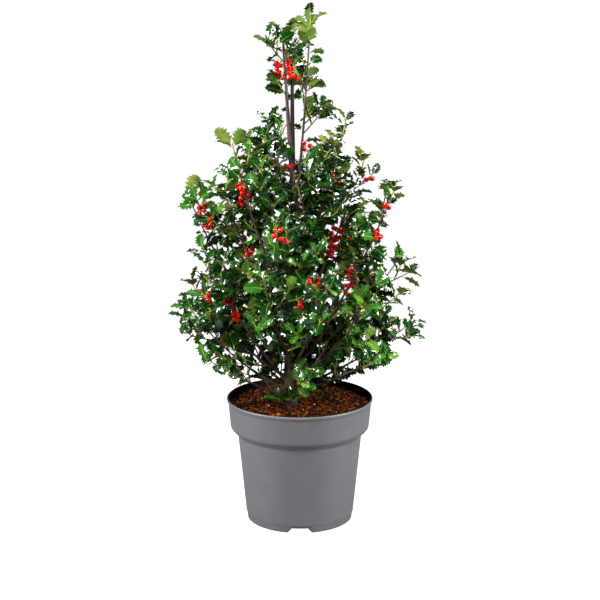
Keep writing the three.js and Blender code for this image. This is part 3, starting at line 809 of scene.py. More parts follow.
leafMaterials = []
for toneName, (upper, rib, under) in leafTones.items():
    leafMaterials.append(leafMaterial("leaf_" + toneName, upper, "upper"))
    leafMaterials.append(leafMaterial("rib_" + toneName, rib, "rib"))
    leafMaterials.append(leafMaterial("underside_" + toneName, under, "under"))
stalkMaterial = leafMaterial("leaf_stalk", leafFinish["stalkTone"], "stalk")
leafMaterials.append(stalkMaterial)

barkLook = {
    "greyFrom": (0.3, 0.5),  # metres up, where the lower colour gives way to the upper
    "hollows": (0.004, 0.003, 0.003, 1),
    "soilLineTone": (30, 17, 7),  # darker towards the soil line at the foot
    "soilLineTo": (0.231, 0.252),
    "fleckWidth": 0.03,
    "fleckShare": 0.35,
    "rough": (0.72, 0.5),
    "specular": 0.2,
}


def barkMaterial(name, low, high, flecks, scale):
    # Darker in the hollows, with pale flecks, and greener towards the ground where low says so; the low
    # colour is the bark's own olive-brown, made lighter as painted light on the lower wood that the crown
    # shades.
    material, tree, shader = newMaterial(name)
    grain = speckleIn(tree, scale, (1, 1, 0.22), 0.45)
    place = addNode(tree, "TexCoord").outputs["Object"]
    spots = addNode(tree, "TexVoronoi", {"feature": "DISTANCE_TO_EDGE"}, Scale=scale * 1.5, Vector=place)
    heightOf = addNode(tree, "SeparateXYZ", Vector=place).outputs[2]
    body = mixColour(tree, spread(tree, heightOf, 0, 1, *barkLook["greyFrom"]), colour(*low), colour(*high))
    dark = mixColour(tree, spread(tree, grain.outputs["Mask"], 0.62, 0), body, barkLook["hollows"])
    fleck = mathNode(tree, "LESS_THAN", spots.outputs["Distance"], barkLook["fleckWidth"])
    fleck = mathNode(tree, "MULTIPLY", fleck, barkLook["fleckShare"])
    clean = mixColour(tree, fleck, dark, colour(*flecks))
    # The bark turns darker towards the soil line at the trunk's foot.
    nearSoil = spread(tree, heightOf, 1, 0, *barkLook["soilLineTo"])
    whole = mixColour(tree, nearSoil, clean, colour(*barkLook["soilLineTone"]))
    feed(tree, shader.inputs["Base Color"], whole)
    feed(tree, shader.inputs["Roughness"], spread(tree, grain.outputs["Mask"], *barkLook["rough"]))
    shader.inputs["Specular IOR Level"].default_value = barkLook["specular"]
    bumpFrom(tree, shader, grain.outputs["Height"], 0.5, 0.0006)
    return material


# The low colours are lifted lighter than the bark's own tone: painted light on the lower trunk and boughs,
# which lie in the crown's shade.
trunkBark = barkMaterial("trunk_bark", (92, 79, 44), (60, 48, 48), (104, 92, 84), 420)
boughBark = barkMaterial("bough_bark", (92, 74, 54), (86, 68, 68), (142, 126, 116), 520)
twigBark = mottled("twig_bark", (34, 22, 20), (78, 54, 52), 520, (0.35, 0.55), (0.3, 0.0003), (1, 1, 0.4))
sprigBark = mottled("sprig_bark", (84, 84, 34), (142, 148, 60), 420, (0.35, 0.5), (0.2, 0.0003))
budScale = mottled("bud_scale", (96, 84, 40), (140, 134, 62), 600, (0.4, 0.55), (0.2, 0.0003))
berrySkin = mottled("berry_skin", (160, 2, 1), (206, 14, 5), 240, (0.22, 0.34), (0.08, 0.0002),
                    Coat_Weight=0.75, Coat_Roughness=0.03, Specular_IOR_Level=0.05)
berryEye = mottled("berry_eye", (30, 18, 12), (62, 40, 24), 900, (0.5, 0.7), (0.3, 0.0002))
print("plant materials")


# Trunk and boughs with the bark's relief

def roughness(point, size, stretch):
    # The bark's relief, drawn out along the limb.
    return noise.fractal(Vector((point[0] / size, point[1] / size, point[2] * stretch / size)), 1.0, 2.1, 3)


def makeTrunk():
    batch = Batch()
    low, high, step = trunkSizes["foot"], trunkSizes["top"], trunkSizes["step"]
    heights = np.arange(low, high + step, step)
    heights[-1] = high
    lift = trunkSizes["knotLift"]
    tall, wide = trunkSizes["knotSize"]
    fine, fineSize, fineStretch, fineGirth = trunkSizes["grain"]
    broad, broadSize, broadStretch, broadGirth = trunkSizes["waves"]
    reach = trunkSizes["reliefReach"]
    knots = [(limb["foot"], radians(limb["turn"]), woodRadius(name, 0)) for name, limb in limbs.items()]
    sides = trunkSizes["sides"]
    points = []
    for z in heights:
        axis = trunkAxis(max(z, trunkSizes["cut"]))
        radius = along(trunkSizes["girths"], max(z, trunkSizes["cut"]))
        toes = max(0, 1 - (z - low) / trunkSizes["flareHeight"])
        for j in range(sides):
            angle = 2 * pi * j / sides
            swell = sum(rise * cos(count * angle + turn) for rise, count, turn in trunkSizes["toes"])
            size = radius * (1 + toes * swell)
            spot = (axis[0] + cos(angle) * reach, axis[1] + sin(angle) * reach, z)
            most = min(trunkSizes["mostGrain"], radius / fineGirth)
            size += fine * roughness(spot, fineSize, fineStretch) * most
            size += broad * roughness(spot, broadSize, broadStretch) * radius / broadGirth
            for foot, turn, girth in knots:
                if abs(z - foot - lift) > trunkSizes["knotReach"]:
                    continue
                apart = (angle - turn + pi) % (2 * pi) - pi
                near = ((z - foot - lift) / (girth * tall)) ** 2 + (apart * radius / (girth * wide)) ** 2
                size += trunkSizes["knotRise"] * np.exp(-near)
            points.append((axis[0] + size * cos(angle), axis[1] + size * sin(angle), z))
    batch.add(points, ringFaces(len(heights), sides), 0)
    tip = trunkAxis(high)
    knob = [tip + (0, 0, rise) for rise, radius in trunkSizes["knob"]]
    radii = [radius for rise, radius in trunkSizes["knob"]]
    rough = trunkSizes["knobRelief"]
    addTube(batch, knob, radii, trunkSizes["knobSides"], 1, lambda angle, i: rough * sin(3 * angle + i))
    foot = trunkAxis(trunkSizes["cut"])
    base = [(foot[0], foot[1], low)] + [points[j] for j in range(sides)]
    batch.add(base, [(0, 1 + (j + 1) % sides, 1 + j) for j in range(sides)], 0)
    return batch.build("trunk", [trunkBark, twigBark])


def makeBoughs():
    batch = Batch()
    for number, (name, limb) in enumerate(limbs.items()):
        if not limb["wood"]:
            continue
        path = paths[name]
        count = int(path.length * limb["wood"] / limbSizes["step"])
        shares = np.linspace(0, limb["wood"] + limbSizes["overrun"], count)
        line = [path.at(s)[0] for s in shares]
        collar = along(trunkSizes["girths"], limb["foot"]) * limbSizes["collarFrom"]
        radii = []
        for share in shares:
            swell = max(0, 1 - max(0, share * path.length - collar) / limbSizes["collarReach"])
            radii.append(woodRadius(name, share) * (1 + limbSizes["collarSwell"] * swell**2))

        def relief(angle, i, line=line, number=number):
            x, y, z = line[i]
            reach = limbSizes["reliefReach"]
            spot = (x + reach * cos(angle), y + reach * sin(angle), z + number * limbSizes["reliefApart"])
            return sum(high * roughness(spot, size, stretch) for high, size, stretch in limbSizes["relief"])

        addTube(batch, line, radii, limbSizes["sides"], 0, relief, cap=False)
    return batch.build("boughs", [boughBark])


trunk = makeTrunk()
boughs = makeBoughs()
print("trunk and boughs")


# Stems, twigs and buds

twigLook = {
    # sides, distance between rings, taper, and length of this year's green wood at the end
    "stem": (9, 6, 0.75, 22),
    "twig": (6, 8, 1, 14),
    "greenTwig": 3,  # one twig in so many is green from near its foot
    "greenFrom": 0.1,
    "nodeRise": 0.09,
    "nodeTurn": 7.3,
    "budLength": 5.5,
    "budRadius": 1.5,
    "budShape": [(0, 0.6), (0.35, 1), (0.7, 0.7), (1, 0.15)],  # shares of its length and radius
    "budSides": 5,
}


def makeTwigs():
    batch = Batch()
    for number, shoot in enumerate(shoots):
        line, (foot, tip) = shoot["line"], shoot["radii"]
        thick = shoot["kind"] == "stem"
        sides, step, taper, greenWood = twigLook["stem" if thick else "twig"]
        count = max(5, int(line.length / step))
        shares = np.linspace(0, 1, count)
        radii = foot + (tip - foot) * shares**taper
        spots = [line.at(s)[0] for s in shares]
        swells = [twigLook["nodeRise"] * sin(twigLook["nodeTurn"] * i + number) for i in range(count)]
        radii = [radius * (1 + swell) for radius, swell in zip(radii, swells)]
        brown = thick or number % twigLook["greenTwig"]
        green = 1 - greenWood / line.length if brown else twigLook["greenFrom"]
        cut = max(2, int(green * (count - 1)))
        addTube(batch, spots[:cut + 1], radii[:cut + 1], sides, 0, cap=False)
        addTube(batch, spots[cut:], radii[cut:], sides, 1)
        end, way = line.at(1)
        bud = [end + way * twigLook["budLength"] * place for place, part in twigLook["budShape"]]
        radii = [twigLook["budRadius"] * part for place, part in twigLook["budShape"]]
        addTube(batch, bud, radii, twigLook["budSides"], 2)
    return batch.build("twigs", [twigBark, sprigBark, budScale])


twigs = makeTwigs()
print("twigs")


# Berries: at the front in the bunches that the plant shows there, and by chance at the back

berrySizes = {
    "radius": (4.3, 5.2),
    "flat": 0.93,  # height against width
    "stalk": 7,
    "stalkChance": (0.6, 0.6),
    "stalkRadii": (0.6, 0.5, 0.55),
    "stalkRise": 1.5,  # the stalk's bow
    "ball": (10, 14),  # rings and sides
    "eye": (4, 6),
    "eyeShape": (0.9, 0.9, 0.4),
    "tries": 14,
    "retryTurn": 0.7,
    "retryReach": 0.5,
    "slide": (9, 1.6),  # a bunch's length along the shoot, and more for each berry
    "hang": (0, -0.35, 0.1),  # berries keep to the front and a little up
    "depth": 0.09,  # how much a seat far back counts against it
    "lean": 9,  # how far a bunch may stand aside from its shoot
    "facing": (0.95, 0.3),  # out of the crown and up
    "clear": 16,  # kept free of leaves round a bunch
    "clearRun": 110,  # and in front of it
    "clearHalf": 13,
    "backBunches": 16,
    "backFrom": (25, 380),  # how far back and how high they start
    "backApart": 70,
    # side, height and number of the bunches that show at the front, as seen at the pot's middle
    "front": [
        (-39, 873, 3), (-20, 873, 3), (-38, 852, 6), (-12, 853, 6), (-20, 681, 3), (21, 722, 5),
        (68, 661, 5), (-106, 636, 8), (-111, 619, 3), (-184, 600, 4), (-172, 576, 4), (-97, 526, 9),
        (-44, 555, 4), (-31, 545, 3), (8, 532, 2), (63, 545, 8), (57, 526, 8), (78, 505, 8),
        (68, 558, 4), (103, 482, 8), (29, 466, 4), (88, 453, 4), (-132, 424, 4), (-121, 397, 5),
        (-3, 416, 3), (-177, 432, 3), (161, 606, 3), (139, 564, 2), (145, 553, 2),
    ],
}

# Places on the shoots and the bare boughs where a bunch may sit.
seats = []
for shoot in shoots:
    shares = np.linspace(0.12, 0.92, 36 if shoot["kind"] == "stem" else 10)
    seats += [shoot["line"].at(share) for share in shares]
for mass in masses:
    if mass["wood"]:
        seats += [mass["path"].at(share) for share in np.linspace(0.2, 1, 9) * mass["wood"]]
shootSpots, shootWays = (np.array(column) for column in zip(*seats))


def frontBunches():
    eye = np.array([view["aside"], -view["distance"], view["height"]]) * 1000
    seen = eye + (shootSpots - eye) * (-eye[1] / (shootSpots[:, 1] - eye[1]))[:, None]
    found = []
    for x, z, count in berrySizes["front"]:
        apart = np.hypot(seen[:, 0] - x, seen[:, 2] - z) + berrySizes["depth"] * shootSpots[:, 1]
        best = int(apart.argmin())
        most = berrySizes["lean"]
        lean = np.clip([x - seen[best, 0], 0, z - seen[best, 2]], -most, most)
        found.append((shootSpots[best], shootWays[best], count, lean))
    return found


def backBunches():
    draw = seeded(733)
    found = []
    depth, low = berrySizes["backFrom"]
    choices = np.flatnonzero((shootSpots[:, 1] > depth) & (shootSpots[:, 2] > low))
    while len(found) < berrySizes["backBunches"]:
        best = int(choices[int(draw() * len(choices))])
        spot = shootSpots[best]
        if all(np.linalg.norm(spot - other[0]) > berrySizes["backApart"] for other in found):
            found.append((spot, shootWays[best], 3 + int(draw() * 6), np.zeros(3)))
    return found


bunches = frontBunches() + backBunches()


def ballShape(rings, sides):
    points = [(0, 0, 1)]
    for i in range(1, rings):
        tilt = pi * i / rings
        points += ringPoints(sin(tilt), sides, cos(tilt))
    points.append((0, 0, -1))
    last = len(points) - 1
    caps = [(0, 1 + j, 1 + (j + 1) % sides) for j in range(sides)]
    caps += [(last, last - sides + (j + 1) % sides, last - sides + j) for j in range(sides)]
    quads = [(a + 1, d + 1, c + 1, b + 1) for a, b, c, d in ringFaces(rings - 1, sides)]
    return np.array(points), (caps, quads)


def makeBerries():
    batch = Batch()
    ball, ballFaces = ballShape(*berrySizes["ball"])
    dot, dotFaces = ballShape(*berrySizes["eye"])
    flat, rise = berrySizes["flat"], np.array([0, 0, berrySizes["stalkRise"]])
    least, more = berrySizes["slide"]
    centres = []
    for number, (spot, way, count, lean) in enumerate(bunches):
        draw = seeded(900 + 13 * number)
        first, second = crossAxes(way)
        for k in range(count):
            size = between(berrySizes["radius"], draw())
            for attempt in range(berrySizes["tries"]):
                angle = spiral * k + attempt * berrySizes["retryTurn"] + draw()
                slide = (draw() - 0.5) * (least + more * count)
                out = unit(first * cos(angle) + second * sin(angle) + berrySizes["hang"])
                reach = berrySizes["stalk"] * byChance(berrySizes["stalkChance"], draw)
                reach += attempt * berrySizes["retryReach"]
                centre = spot + lean + way * slide + out * reach
                if all(np.linalg.norm(centre - c) > size + s for c, s in centres) and crownHolds(centre):
                    break
            else:
                continue
            centres.append((centre, size))
            axis = unit(centre - (spot + way * slide) - rise)
            turn = np.stack([*crossAxes(axis), axis])
            skin = centre + ball * (1, 1, flat) @ turn * size
            # The little dark eye at the far end.
            eye = centre + axis * size * flat + dot * berrySizes["eyeShape"] @ turn
            for shape, forms, slot in ((skin, ballFaces, 0), (eye, dotFaces, 1)):
                for faces in forms:
                    batch.add(shape, faces, slot)
            foot = spot + way * slide * 0.55
            middle = (foot + centre) / 2 + rise
            end = centre - unit(centre - middle) * size * 0.7
            addTube(batch, [foot, middle, end], berrySizes["stalkRadii"], 5, 2, cap=False)
    return batch.build("berries", [berrySkin, berryEye, stalkMaterial]), centres


berries, berryCentres = makeBerries()
print("berries:", len(berryCentres))


# Leaves

leafSizes = {
    "length": (28, 36),  # of the blade
    "width": (0.58, 0.72),  # of the length
    "stalk": 6.5,
    "spacing": 11.5,  # in the last of a shoot's length
    "topSpacing": 15,  # on the leaders
    "leafyEnd": 125,
    "sparse": 20,  # between leaves further down
    "whorl": (2, 5, 9),  # first places back from a shoot's tip
    "stemBare": 0.06,
    "twigBare": 0.2,
    "tipSpread": 0.65,
    "footSpread": 1.42,
    "fold": (0.1, 0.45),  # radians, each half above the rib's level
    "bend": (0.2, 0.9),  # radians, along the blade
    # radians in all, about the blade's own length: up to the first height, and from the second
    "roll": ((560, 1.2), (780, 2.3)),
    "calm": {"high_right": 0.2},  # share of the young leaves that a bough keeps
    # how far uppers turn out of the crown, and from which place on within which distance
    "turnAside": (0.4, -15, 80),
    "turnFront": (0.75, 20, 40),
    # turn round the shoot and share of the length, tried until one finds room
    "tries": ((0, 1), (0.8, 0.95), (-0.8, 0.95), (1.7, 0.9), (-1.7, 0.85)),
    "scales": {"foot": 0.74, "sprout": 0.84},
    "wave": (1.1, 2.7),  # how far the spines stand up or down
    "swirl": 0.3,
    "tipShare": 0.86,  # of the length, for the youngest two
    "placeChance": 3,
    "spreadChance": 0.35,
    "lift": (0.3, 0.16),  # of leaves under and over the shoot
    "faceOut": 0.6,
    "faceUp": 0.55,
    "droop": 0.2,
    "apart": 8.5,  # between two blades' middles
    "overlap": 22,  # how far a blade's middle may stand in the next mass's space
    # boughs whose last two leaves stand up with their backs to the front, and how far out of the crown
    "paleTips": {"upper_left": 48, "wide_left": 16},
    "paleLength": 40,
    "paleAside": 0.75,
    "paleFace": (0, 1, 0.35),
    "sproutSide": -11,  # the sprout's leaves keep to the right of this
    "tipSlack": 12,  # how far a shoot's last leaves may stand out of the crown
    "ribHalf": 0.42,
    "ribTaper": 1.15,
    "keel": -0.75,  # height of the rib below
    "edgeFold": 0.8,  # of the blade's fold
    "middleReach": 0.56,  # of the half width
    "puff": 0.09,  # how far the blade swells between rib and edge
    "puffWave": (1.3, 0.4),
    "skin": 0.06,  # between upper and lower side
    "stalkHalf": 0.78,
    "stalkTaper": 0.14,
    "stalkInto": 0.8,  # how far the stalk runs into the blade
    "stalkDrop": 0.1,
    "stalkSag": 0.66,
    "stalkFlat": 0.8,
}

# Along one edge, from the stalk to the tip: place, half width, and which way the edge waves there.
# The last column is the blade's half width without its spines.
leafEdge = [
    (0.0, 0.06, 0, 0.06), (0.08, 0.38, 0.1, 0.38), (0.2, 0.95, -0.9, 0.68), (0.28, 0.64, -0.3, 0.7),
    (0.39, 1.16, 0.9, 0.84), (0.47, 0.72, 0.3, 0.82), (0.58, 1.16, -1, 0.86), (0.66, 0.7, -0.3, 0.78),
    (0.75, 1.0, 0.9, 0.72), (0.82, 0.5, 0.2, 0.55), (0.89, 0.68, -0.7, 0.44), (0.94, 0.22, -0.1, 0.23),
    (1.0, 0.0, 0, 0.0),
]
edgePlaces, edgeWidths, edgeWaves, leafSwell = (np.array(column) for column in zip(*leafEdge))
rowCount = len(leafEdge)
# Points across a row: on the upper side, on the lower side, and round the stalk.
upperPlaces = (0, 0.24, 0.49, 0.51, 0.76, 1.0)
lowerPlaces = (0, 0.5, 1)
stalkPlaces = (0, 0.55, 1.0)
stalkSides = 3


def leafTemplate():
    # Faces and their kinds: 0 upper, 1 rib, 2 lower, 3 stalk.
    faces, kinds = [], []
    wide, narrow = len(upperPlaces), len(lowerPlaces)
    for i in range(rowCount - 1):
        for j in range(wide - 1):
            a = i * wide + j
            faces.append((a, a + wide, a + wide + 1, a + 1))
            kinds.append(1 if j == 2 else 0)
    start = rowCount * wide
    for i in range(rowCount - 1):
        for j in range(narrow - 1):
            a = start + i * narrow + j
            faces.append((a, a + 1, a + narrow + 1, a + narrow))
            kinds.append(2)
    start += rowCount * narrow
    stalk = ringFaces(len(stalkPlaces), stalkSides)
    faces += [tuple(start + corner for corner in face) for face in stalk]
    kinds += [3] * len(stalk)
    return np.array(faces), np.array(kinds)


leafFaces, leafKinds = leafTemplate()


def leafPoints(foot, basis, length, width, fold, bend, wave, flip, swirl):
    # Every leaf at once: arrays of one number for each leaf give points as (leaf, point, xyz).
    n = len(length)
    t = edgePlaces[None, :]
    shapes = (length, width, fold, bend, wave, flip, swirl)
    length, width, fold, bend, wave, flip, swirl = (v[:, None] for v in shapes)
    turn = bend * t
    axisX = length * np.where(bend > 1e-3, np.sin(turn) / bend, t)
    axisZ = -length * np.where(bend > 1e-3, (1 - np.cos(turn)) / bend, 0)
    axisY = swirl * length * t * t
    upX, upZ = np.sin(turn), np.cos(turn)
    half = width / 2
    swell = leafSwell[None, :]
    rib = leafSizes["ribHalf"] * (leafSizes["ribTaper"] - t)
    least, more = leafSizes["puffWave"]
    columns = []
    for side, kind in ((-1, "edge"), (-1, "middle"), (-1, "rib"), (1, "rib"), (1, "middle"), (1, "edge")):
        if kind == "edge":
            reach = np.maximum(half * edgeWidths[None, :], rib)
            rise = reach * np.tan(fold) * leafSizes["edgeFold"]
            rise = rise + wave * edgeWaves[None, :] * flip * side * swell
        elif kind == "middle":
            reach = np.maximum(half * swell * leafSizes["middleReach"], rib)
            rise = reach * np.tan(fold)
            rise = rise + leafSizes["puff"] * half * swell * (least + more * np.sin(4 * t * pi + side))
        else:
            reach, rise = rib + 0 * half, 0 * half
        columns.append((side * reach, rise))
    keel = (0 * half, leafSizes["keel"] + 0 * half * t)

    def sheet(lines, drop):
        rows = []
        for y, z in lines:
            rows.append(np.stack([axisX + upX * (z - drop), axisY + y, axisZ + upZ * (z - drop)], -1))
        return np.stack(rows, 2).reshape(n, -1, 3)

    stalk = []
    for share in stalkPlaces:
        for j in range(stalkSides):
            angle = 2 * pi * j / stalkSides + pi / 2
            size = leafSizes["stalkHalf"] - leafSizes["stalkTaper"] * share
            x = -leafSizes["stalk"] * (1 - share) + leafSizes["stalkInto"] * share
            drop = -leafSizes["stalkDrop"] - leafSizes["stalkSag"] * sin(pi * share)
            stalk.append((x, size * cos(angle), drop + size * sin(angle) * leafSizes["stalkFlat"]))
    stalk = np.broadcast_to(np.array(stalk), (n, len(stalk), 3))
    sides = sheet(columns, 0), sheet((columns[0], keel, columns[5]), leafSizes["skin"])
    local = np.concatenate([*sides, stalk], 1)
    return foot[:, None, :] + np.einsum("nij,nkj->nki", basis, local)


def leafMaps(n):
    top = [(u, v) for v in edgePlaces for u in upperPlaces]
    low = [(u, v) for v in edgePlaces for u in lowerPlaces]
    stalk = [(0.5, 0.0)] * (len(stalkPlaces) * stalkSides)
    return np.tile(np.array(top + low + stalk), (n, 1))


bunchSpots = np.array([bunch[0] for bunch in bunches])
bunchOut, bunchUp = berrySizes["facing"]
bunchOuts = np.array([(0, bunchOut if y >= berrySizes["backFrom"][0] else -bunchOut, bunchUp)
                      for y in bunchSpots[:, 1]])


def clearOfBerries(point):
    # Leaves leave room round each bunch and in a short way out of the crown from it.
    way = point - bunchSpots
    run = (way * bunchOuts).sum(1)
    off = np.linalg.norm(way - run[:, None] * bunchOuts, axis=1)
    near = np.linalg.norm(way, axis=1) < berrySizes["clear"]
    before = (run > 0) & (run < berrySizes["clearRun"]) & (off < berrySizes["clearHalf"])
    return not (near | before).any()


# How much of these boughs, and between which heights the trunk, shows from the front.
shownWood = {
    "low_right": (0.06, 0.62), "right": (0.06, 0.5), "wide_right": (0.06, 0.5), "tall_right": (0.06, 0.56),
    "left": (0.06, 0.4), "low_left": (0.06, 0.66), "lowest_left": (0.05, 0.66), "tall_left": (0.06, 0.62),
    "upper_left": (0.3, 0.75), "upper_right": (0.35, 0.7), "front_left": (0.1, 0.3),
    "front_right": (0.1, 0.3), "left_leader": (0.36, 0.72), "right_leader": (0.15, 0.85),
}
shownTrunk = ((240, 350), (650, 700), (745, 860))
shownHalf = 12.5  # of the width kept clear of a blade's middle
shownEdge = 7  # and of its two ends


def seenAs(points):
    # Where points show from the front: to the right, and upwards at the trunk's distance.
    drop = (view["height"] * 1000 - points[:, 2]) / (view["distance"] * 1000)
    return points[:, 0], points[:, 2] + points[:, 1] * drop


shownPoints = []
for name, ends in shownWood.items():
    shownPoints += [paths[name].at(share)[0] for share in np.linspace(*ends, 30)]
shownPoints += [trunkAxis(z) for low, high in shownTrunk for z in range(low, high, 8)]
shownPoints = np.array(shownPoints)
shownAcross, shownUp = seenAs(shownPoints)


def hidesWood(point, half):
    across, up = seenAs(point[None])
    near = np.hypot(shownAcross - across, shownUp - up) < half
    return (near & (shownPoints[:, 1] > point[1] + 1)).any()


def hidesAnyWood(base, middle, tip):
    return hidesWood(middle, shownHalf) or hidesWood(base, shownEdge) or hidesWood(tip, shownEdge)


class Grid:
    # Middles of the blades so far, by cell, to keep new ones off them.
    def __init__(self, cell):
        self.cell, self.cells = cell, {}

    def keyOf(self, point):
        return tuple((point // self.cell).astype(int))

    def isFree(self, point, apart):
        x, y, z = self.keyOf(point)
        steps = (-1, 0, 1)
        for key in [(x + i, y + j, z + k) for i in steps for j in steps for k in steps]:
            if any(np.linalg.norm(other - point) < apart for other in self.cells.get(key, ())):
                return False
        return True

    def add(self, point):
        self.cells.setdefault(self.keyOf(point), []).append(point)


bladeGrid = Grid(12.0)
leaves = []


# How leaves share out the tones, from deep, 0, to young, 4.
leafAges = {
    "leastYouth": 0.08,
    "topYouth": 0.24,
    "youth": 0.5,
    "tips": (0.8, 0.16),  # leaves past this share of a shoot are so much younger
    "heart": -0.2,
    "mixing": 1.7,
    "foot": ((0.7, 1), (1, 2)),  # chance up to this, and tone
    "sprout": ((0.06, 4), (0.3, 3), (1, 2)),
}


def toneFor(shoot, share, draw):
    # Tones go by spray: deep green in the heart, and fresher at the tips and on the sprout.
    chance = draw()
    for place, here in (("foot", shoot["kind"]), ("sprout", shoot["mass"]["name"])):
        if here == place:
            return next(tone for most, tone in leafAges[place] if chance < most)
    youth = shoot["youth"]
    if share > leafAges["tips"][0] and shoot["mass"]["region"] != "top":
        youth += leafAges["tips"][1]
    if shoot["kind"] == "heart":
        youth += leafAges["heart"]
    oldest = len(leafTones) - 1
    return int(np.clip(youth * oldest + (chance - 0.5) * leafAges["mixing"], 0, oldest))


def leafPlaces(shoot):
    length = shoot["line"].length
    spacing = leafSizes["topSpacing" if shoot["mass"]["region"] == "top" else "spacing"]
    bare = leafSizes["stemBare"] if shoot["kind"] == "stem" else leafSizes["twigBare"]
    places = [p for p in leafSizes["whorl"] if p < length * 0.7]
    place = leafSizes["whorl"][-1] + spacing * 0.8
    while place < length * (1 - bare):
        places.append(place)
        place += spacing if place < leafSizes["leafyEnd"] else leafSizes["sparse"]
    return places


def lightWay(point):
    # Which way light comes from at a point in the crown, for the upper sides to turn to.
    turns = []
    for place, key in zip(point, ("turnAside", "turnFront")):
        most, middle, reach = leafSizes[key]
        turns.append(np.clip((place - middle) / reach, -1, 1) * most)
    return np.array([*turns, 0])


def leafScale(shoot):
    scales = leafSizes["scales"]
    return scales.get(shoot["kind"], scales.get(shoot["mass"]["name"], 1))


def paleTip(way, k):
    # The ways out and up of a tip's leaf that shows its back, one on each side of the shoot.
    aside = leafSizes["paleAside"]
    out = unit(way + (aside if k else -aside, 0, 0))
    face = np.array(leafSizes["paleFace"])
    return out, unit(face - out * np.dot(face, out))


def mayStand(shoot, base, middle, tip, slack):
    # Whether a leaf keeps to its place, off other leaves, and off the wood and berries that show.
    if not crownHolds(tip, slack) or not inOwnSpace(shoot["number"], middle, leafSizes["overlap"], slack):
        return False
    if not bladeGrid.isFree(middle, leafSizes["apart"]):
        return False
    if shoot["mass"]["name"] != "sprout":
        if hidesAnyWood(base, middle, tip):
            return False
    elif shoot["kind"] != "foot" and min(middle[0], tip[0]) < leafSizes["sproutSide"]:
        return False
    return clearOfBerries(middle) and clearOfBerries(tip)


def growLeaves(shoot):
    draw, line, mass = shoot["mass"]["draw"], shoot["line"], shoot["mass"]
    onTop = mass["region"] == "top"
    phase = draw() * 2 * pi
    shoot["youth"] = leafAges["leastYouth"] + leafAges["topYouth" if onTop else "youth"] * draw() ** 2
    shoot["youth"] *= leafSizes["calm"].get(mass["name"], 1)
    pale = leafSizes["paleTips"].get(mass["name"], 0) if shoot["kind"] == "stem" else 0
    for k, place in enumerate(leafPlaces(shoot)):
        share = 1 - (place + (draw() - 0.5) * leafSizes["placeChance"]) / line.length
        spot, way = line.at(share)
        first, second = crossAxes(way)
        spreadAngle = between((leafSizes["tipSpread"], leafSizes["footSpread"]), min(1, k / 5))
        spreadAngle += (draw() - 0.5) * leafSizes["spreadChance"]
        full = between(leafSizes["length"], draw()) * (leafSizes["tipShare"] if k < 2 else 1)
        full *= leafScale(shoot)
        roll = (draw() - 0.5) * along(leafSizes["roll"], spot[2])
        light = lightWay(spot) * (not onTop)
        slack = max(pale, leafSizes["tipSlack"]) if k < 3 else 0
        for turn, scale in leafSizes["tries"]:
            angle = phase + k * spiral + turn
            radial = first * cos(angle) + second * sin(angle)
            out = way * cos(spreadAngle) + radial * sin(spreadAngle)
            out = unit(out + (0, 0, leafSizes["lift"][int(radial[2] > 0)]))
            face = way * leafSizes["faceOut"] + (0, 0, leafSizes["faceUp"]) + light * min(1, k / 4)
            face = turned(unit(face - out * np.dot(face, out)), out, roll)
            size = full * scale
            if k < 2 and pale:
                out, face = paleTip(way, k)
                size = leafSizes["paleLength"]
            base = spot + out * leafSizes["stalk"]
            middle, tip = base + out * size * 0.5, base + out * size - face * size * leafSizes["droop"]
            if mayStand(shoot, base, middle, tip, slack):
                bladeGrid.add(middle)
                leaves.append({"region": mass["region"], "base": base, "out": out, "face": face,
                               "size": size, "tone": toneFor(shoot, share, draw),
                               "draws": [draw() for i in range(6)]})
                break


for shoot in shoots:
    growLeaves(shoot)
print("leaves:", len(leaves))


def makeLeaves(region):
    chosen = [leaf for leaf in leaves if leaf["region"] == region]
    keys = ("base", "out", "face", "size", "tone", "draws")
    foot, out, face, length, tones, draws = (np.array([leaf[key] for leaf in chosen]) for key in keys)
    basis = np.stack([out, np.cross(face, out), face], 2)
    width = length * between(leafSizes["width"], draws[:, 0])
    keys = ("fold", "bend", "wave")
    fold, bend, wave = (between(leafSizes[key], draws[:, i + 1]) for i, key in enumerate(keys))
    flip = np.where(draws[:, 4] > 0.5, 1.0, -1.0)
    swirl = (draws[:, 5] - 0.5) * leafSizes["swirl"]
    points = leafPoints(foot, basis, length, width, fold, bend, wave, flip, swirl)
    n, perLeaf = points.shape[:2]
    faces = leafFaces[None] + (np.arange(n) * perLeaf)[:, None, None]
    slots = np.where(leafKinds[None] < 3, tones[:, None] * 3 + leafKinds[None], len(leafTones) * 3)
    batch = Batch()
    batch.add(points.reshape(-1, 3), faces.reshape(-1, 4), slots.ravel())
    print("  ", region, n, "leaves,", n * len(leafFaces) * 2, "triangles")
    return batch.build("leaves_" + region, leafMaterials, leafMap=leafMaps(n))


regions = ("left", "right", "front", "back", "top")
foliage = {region: makeLeaves(region) for region in regions}
print("foliage")


# Pot

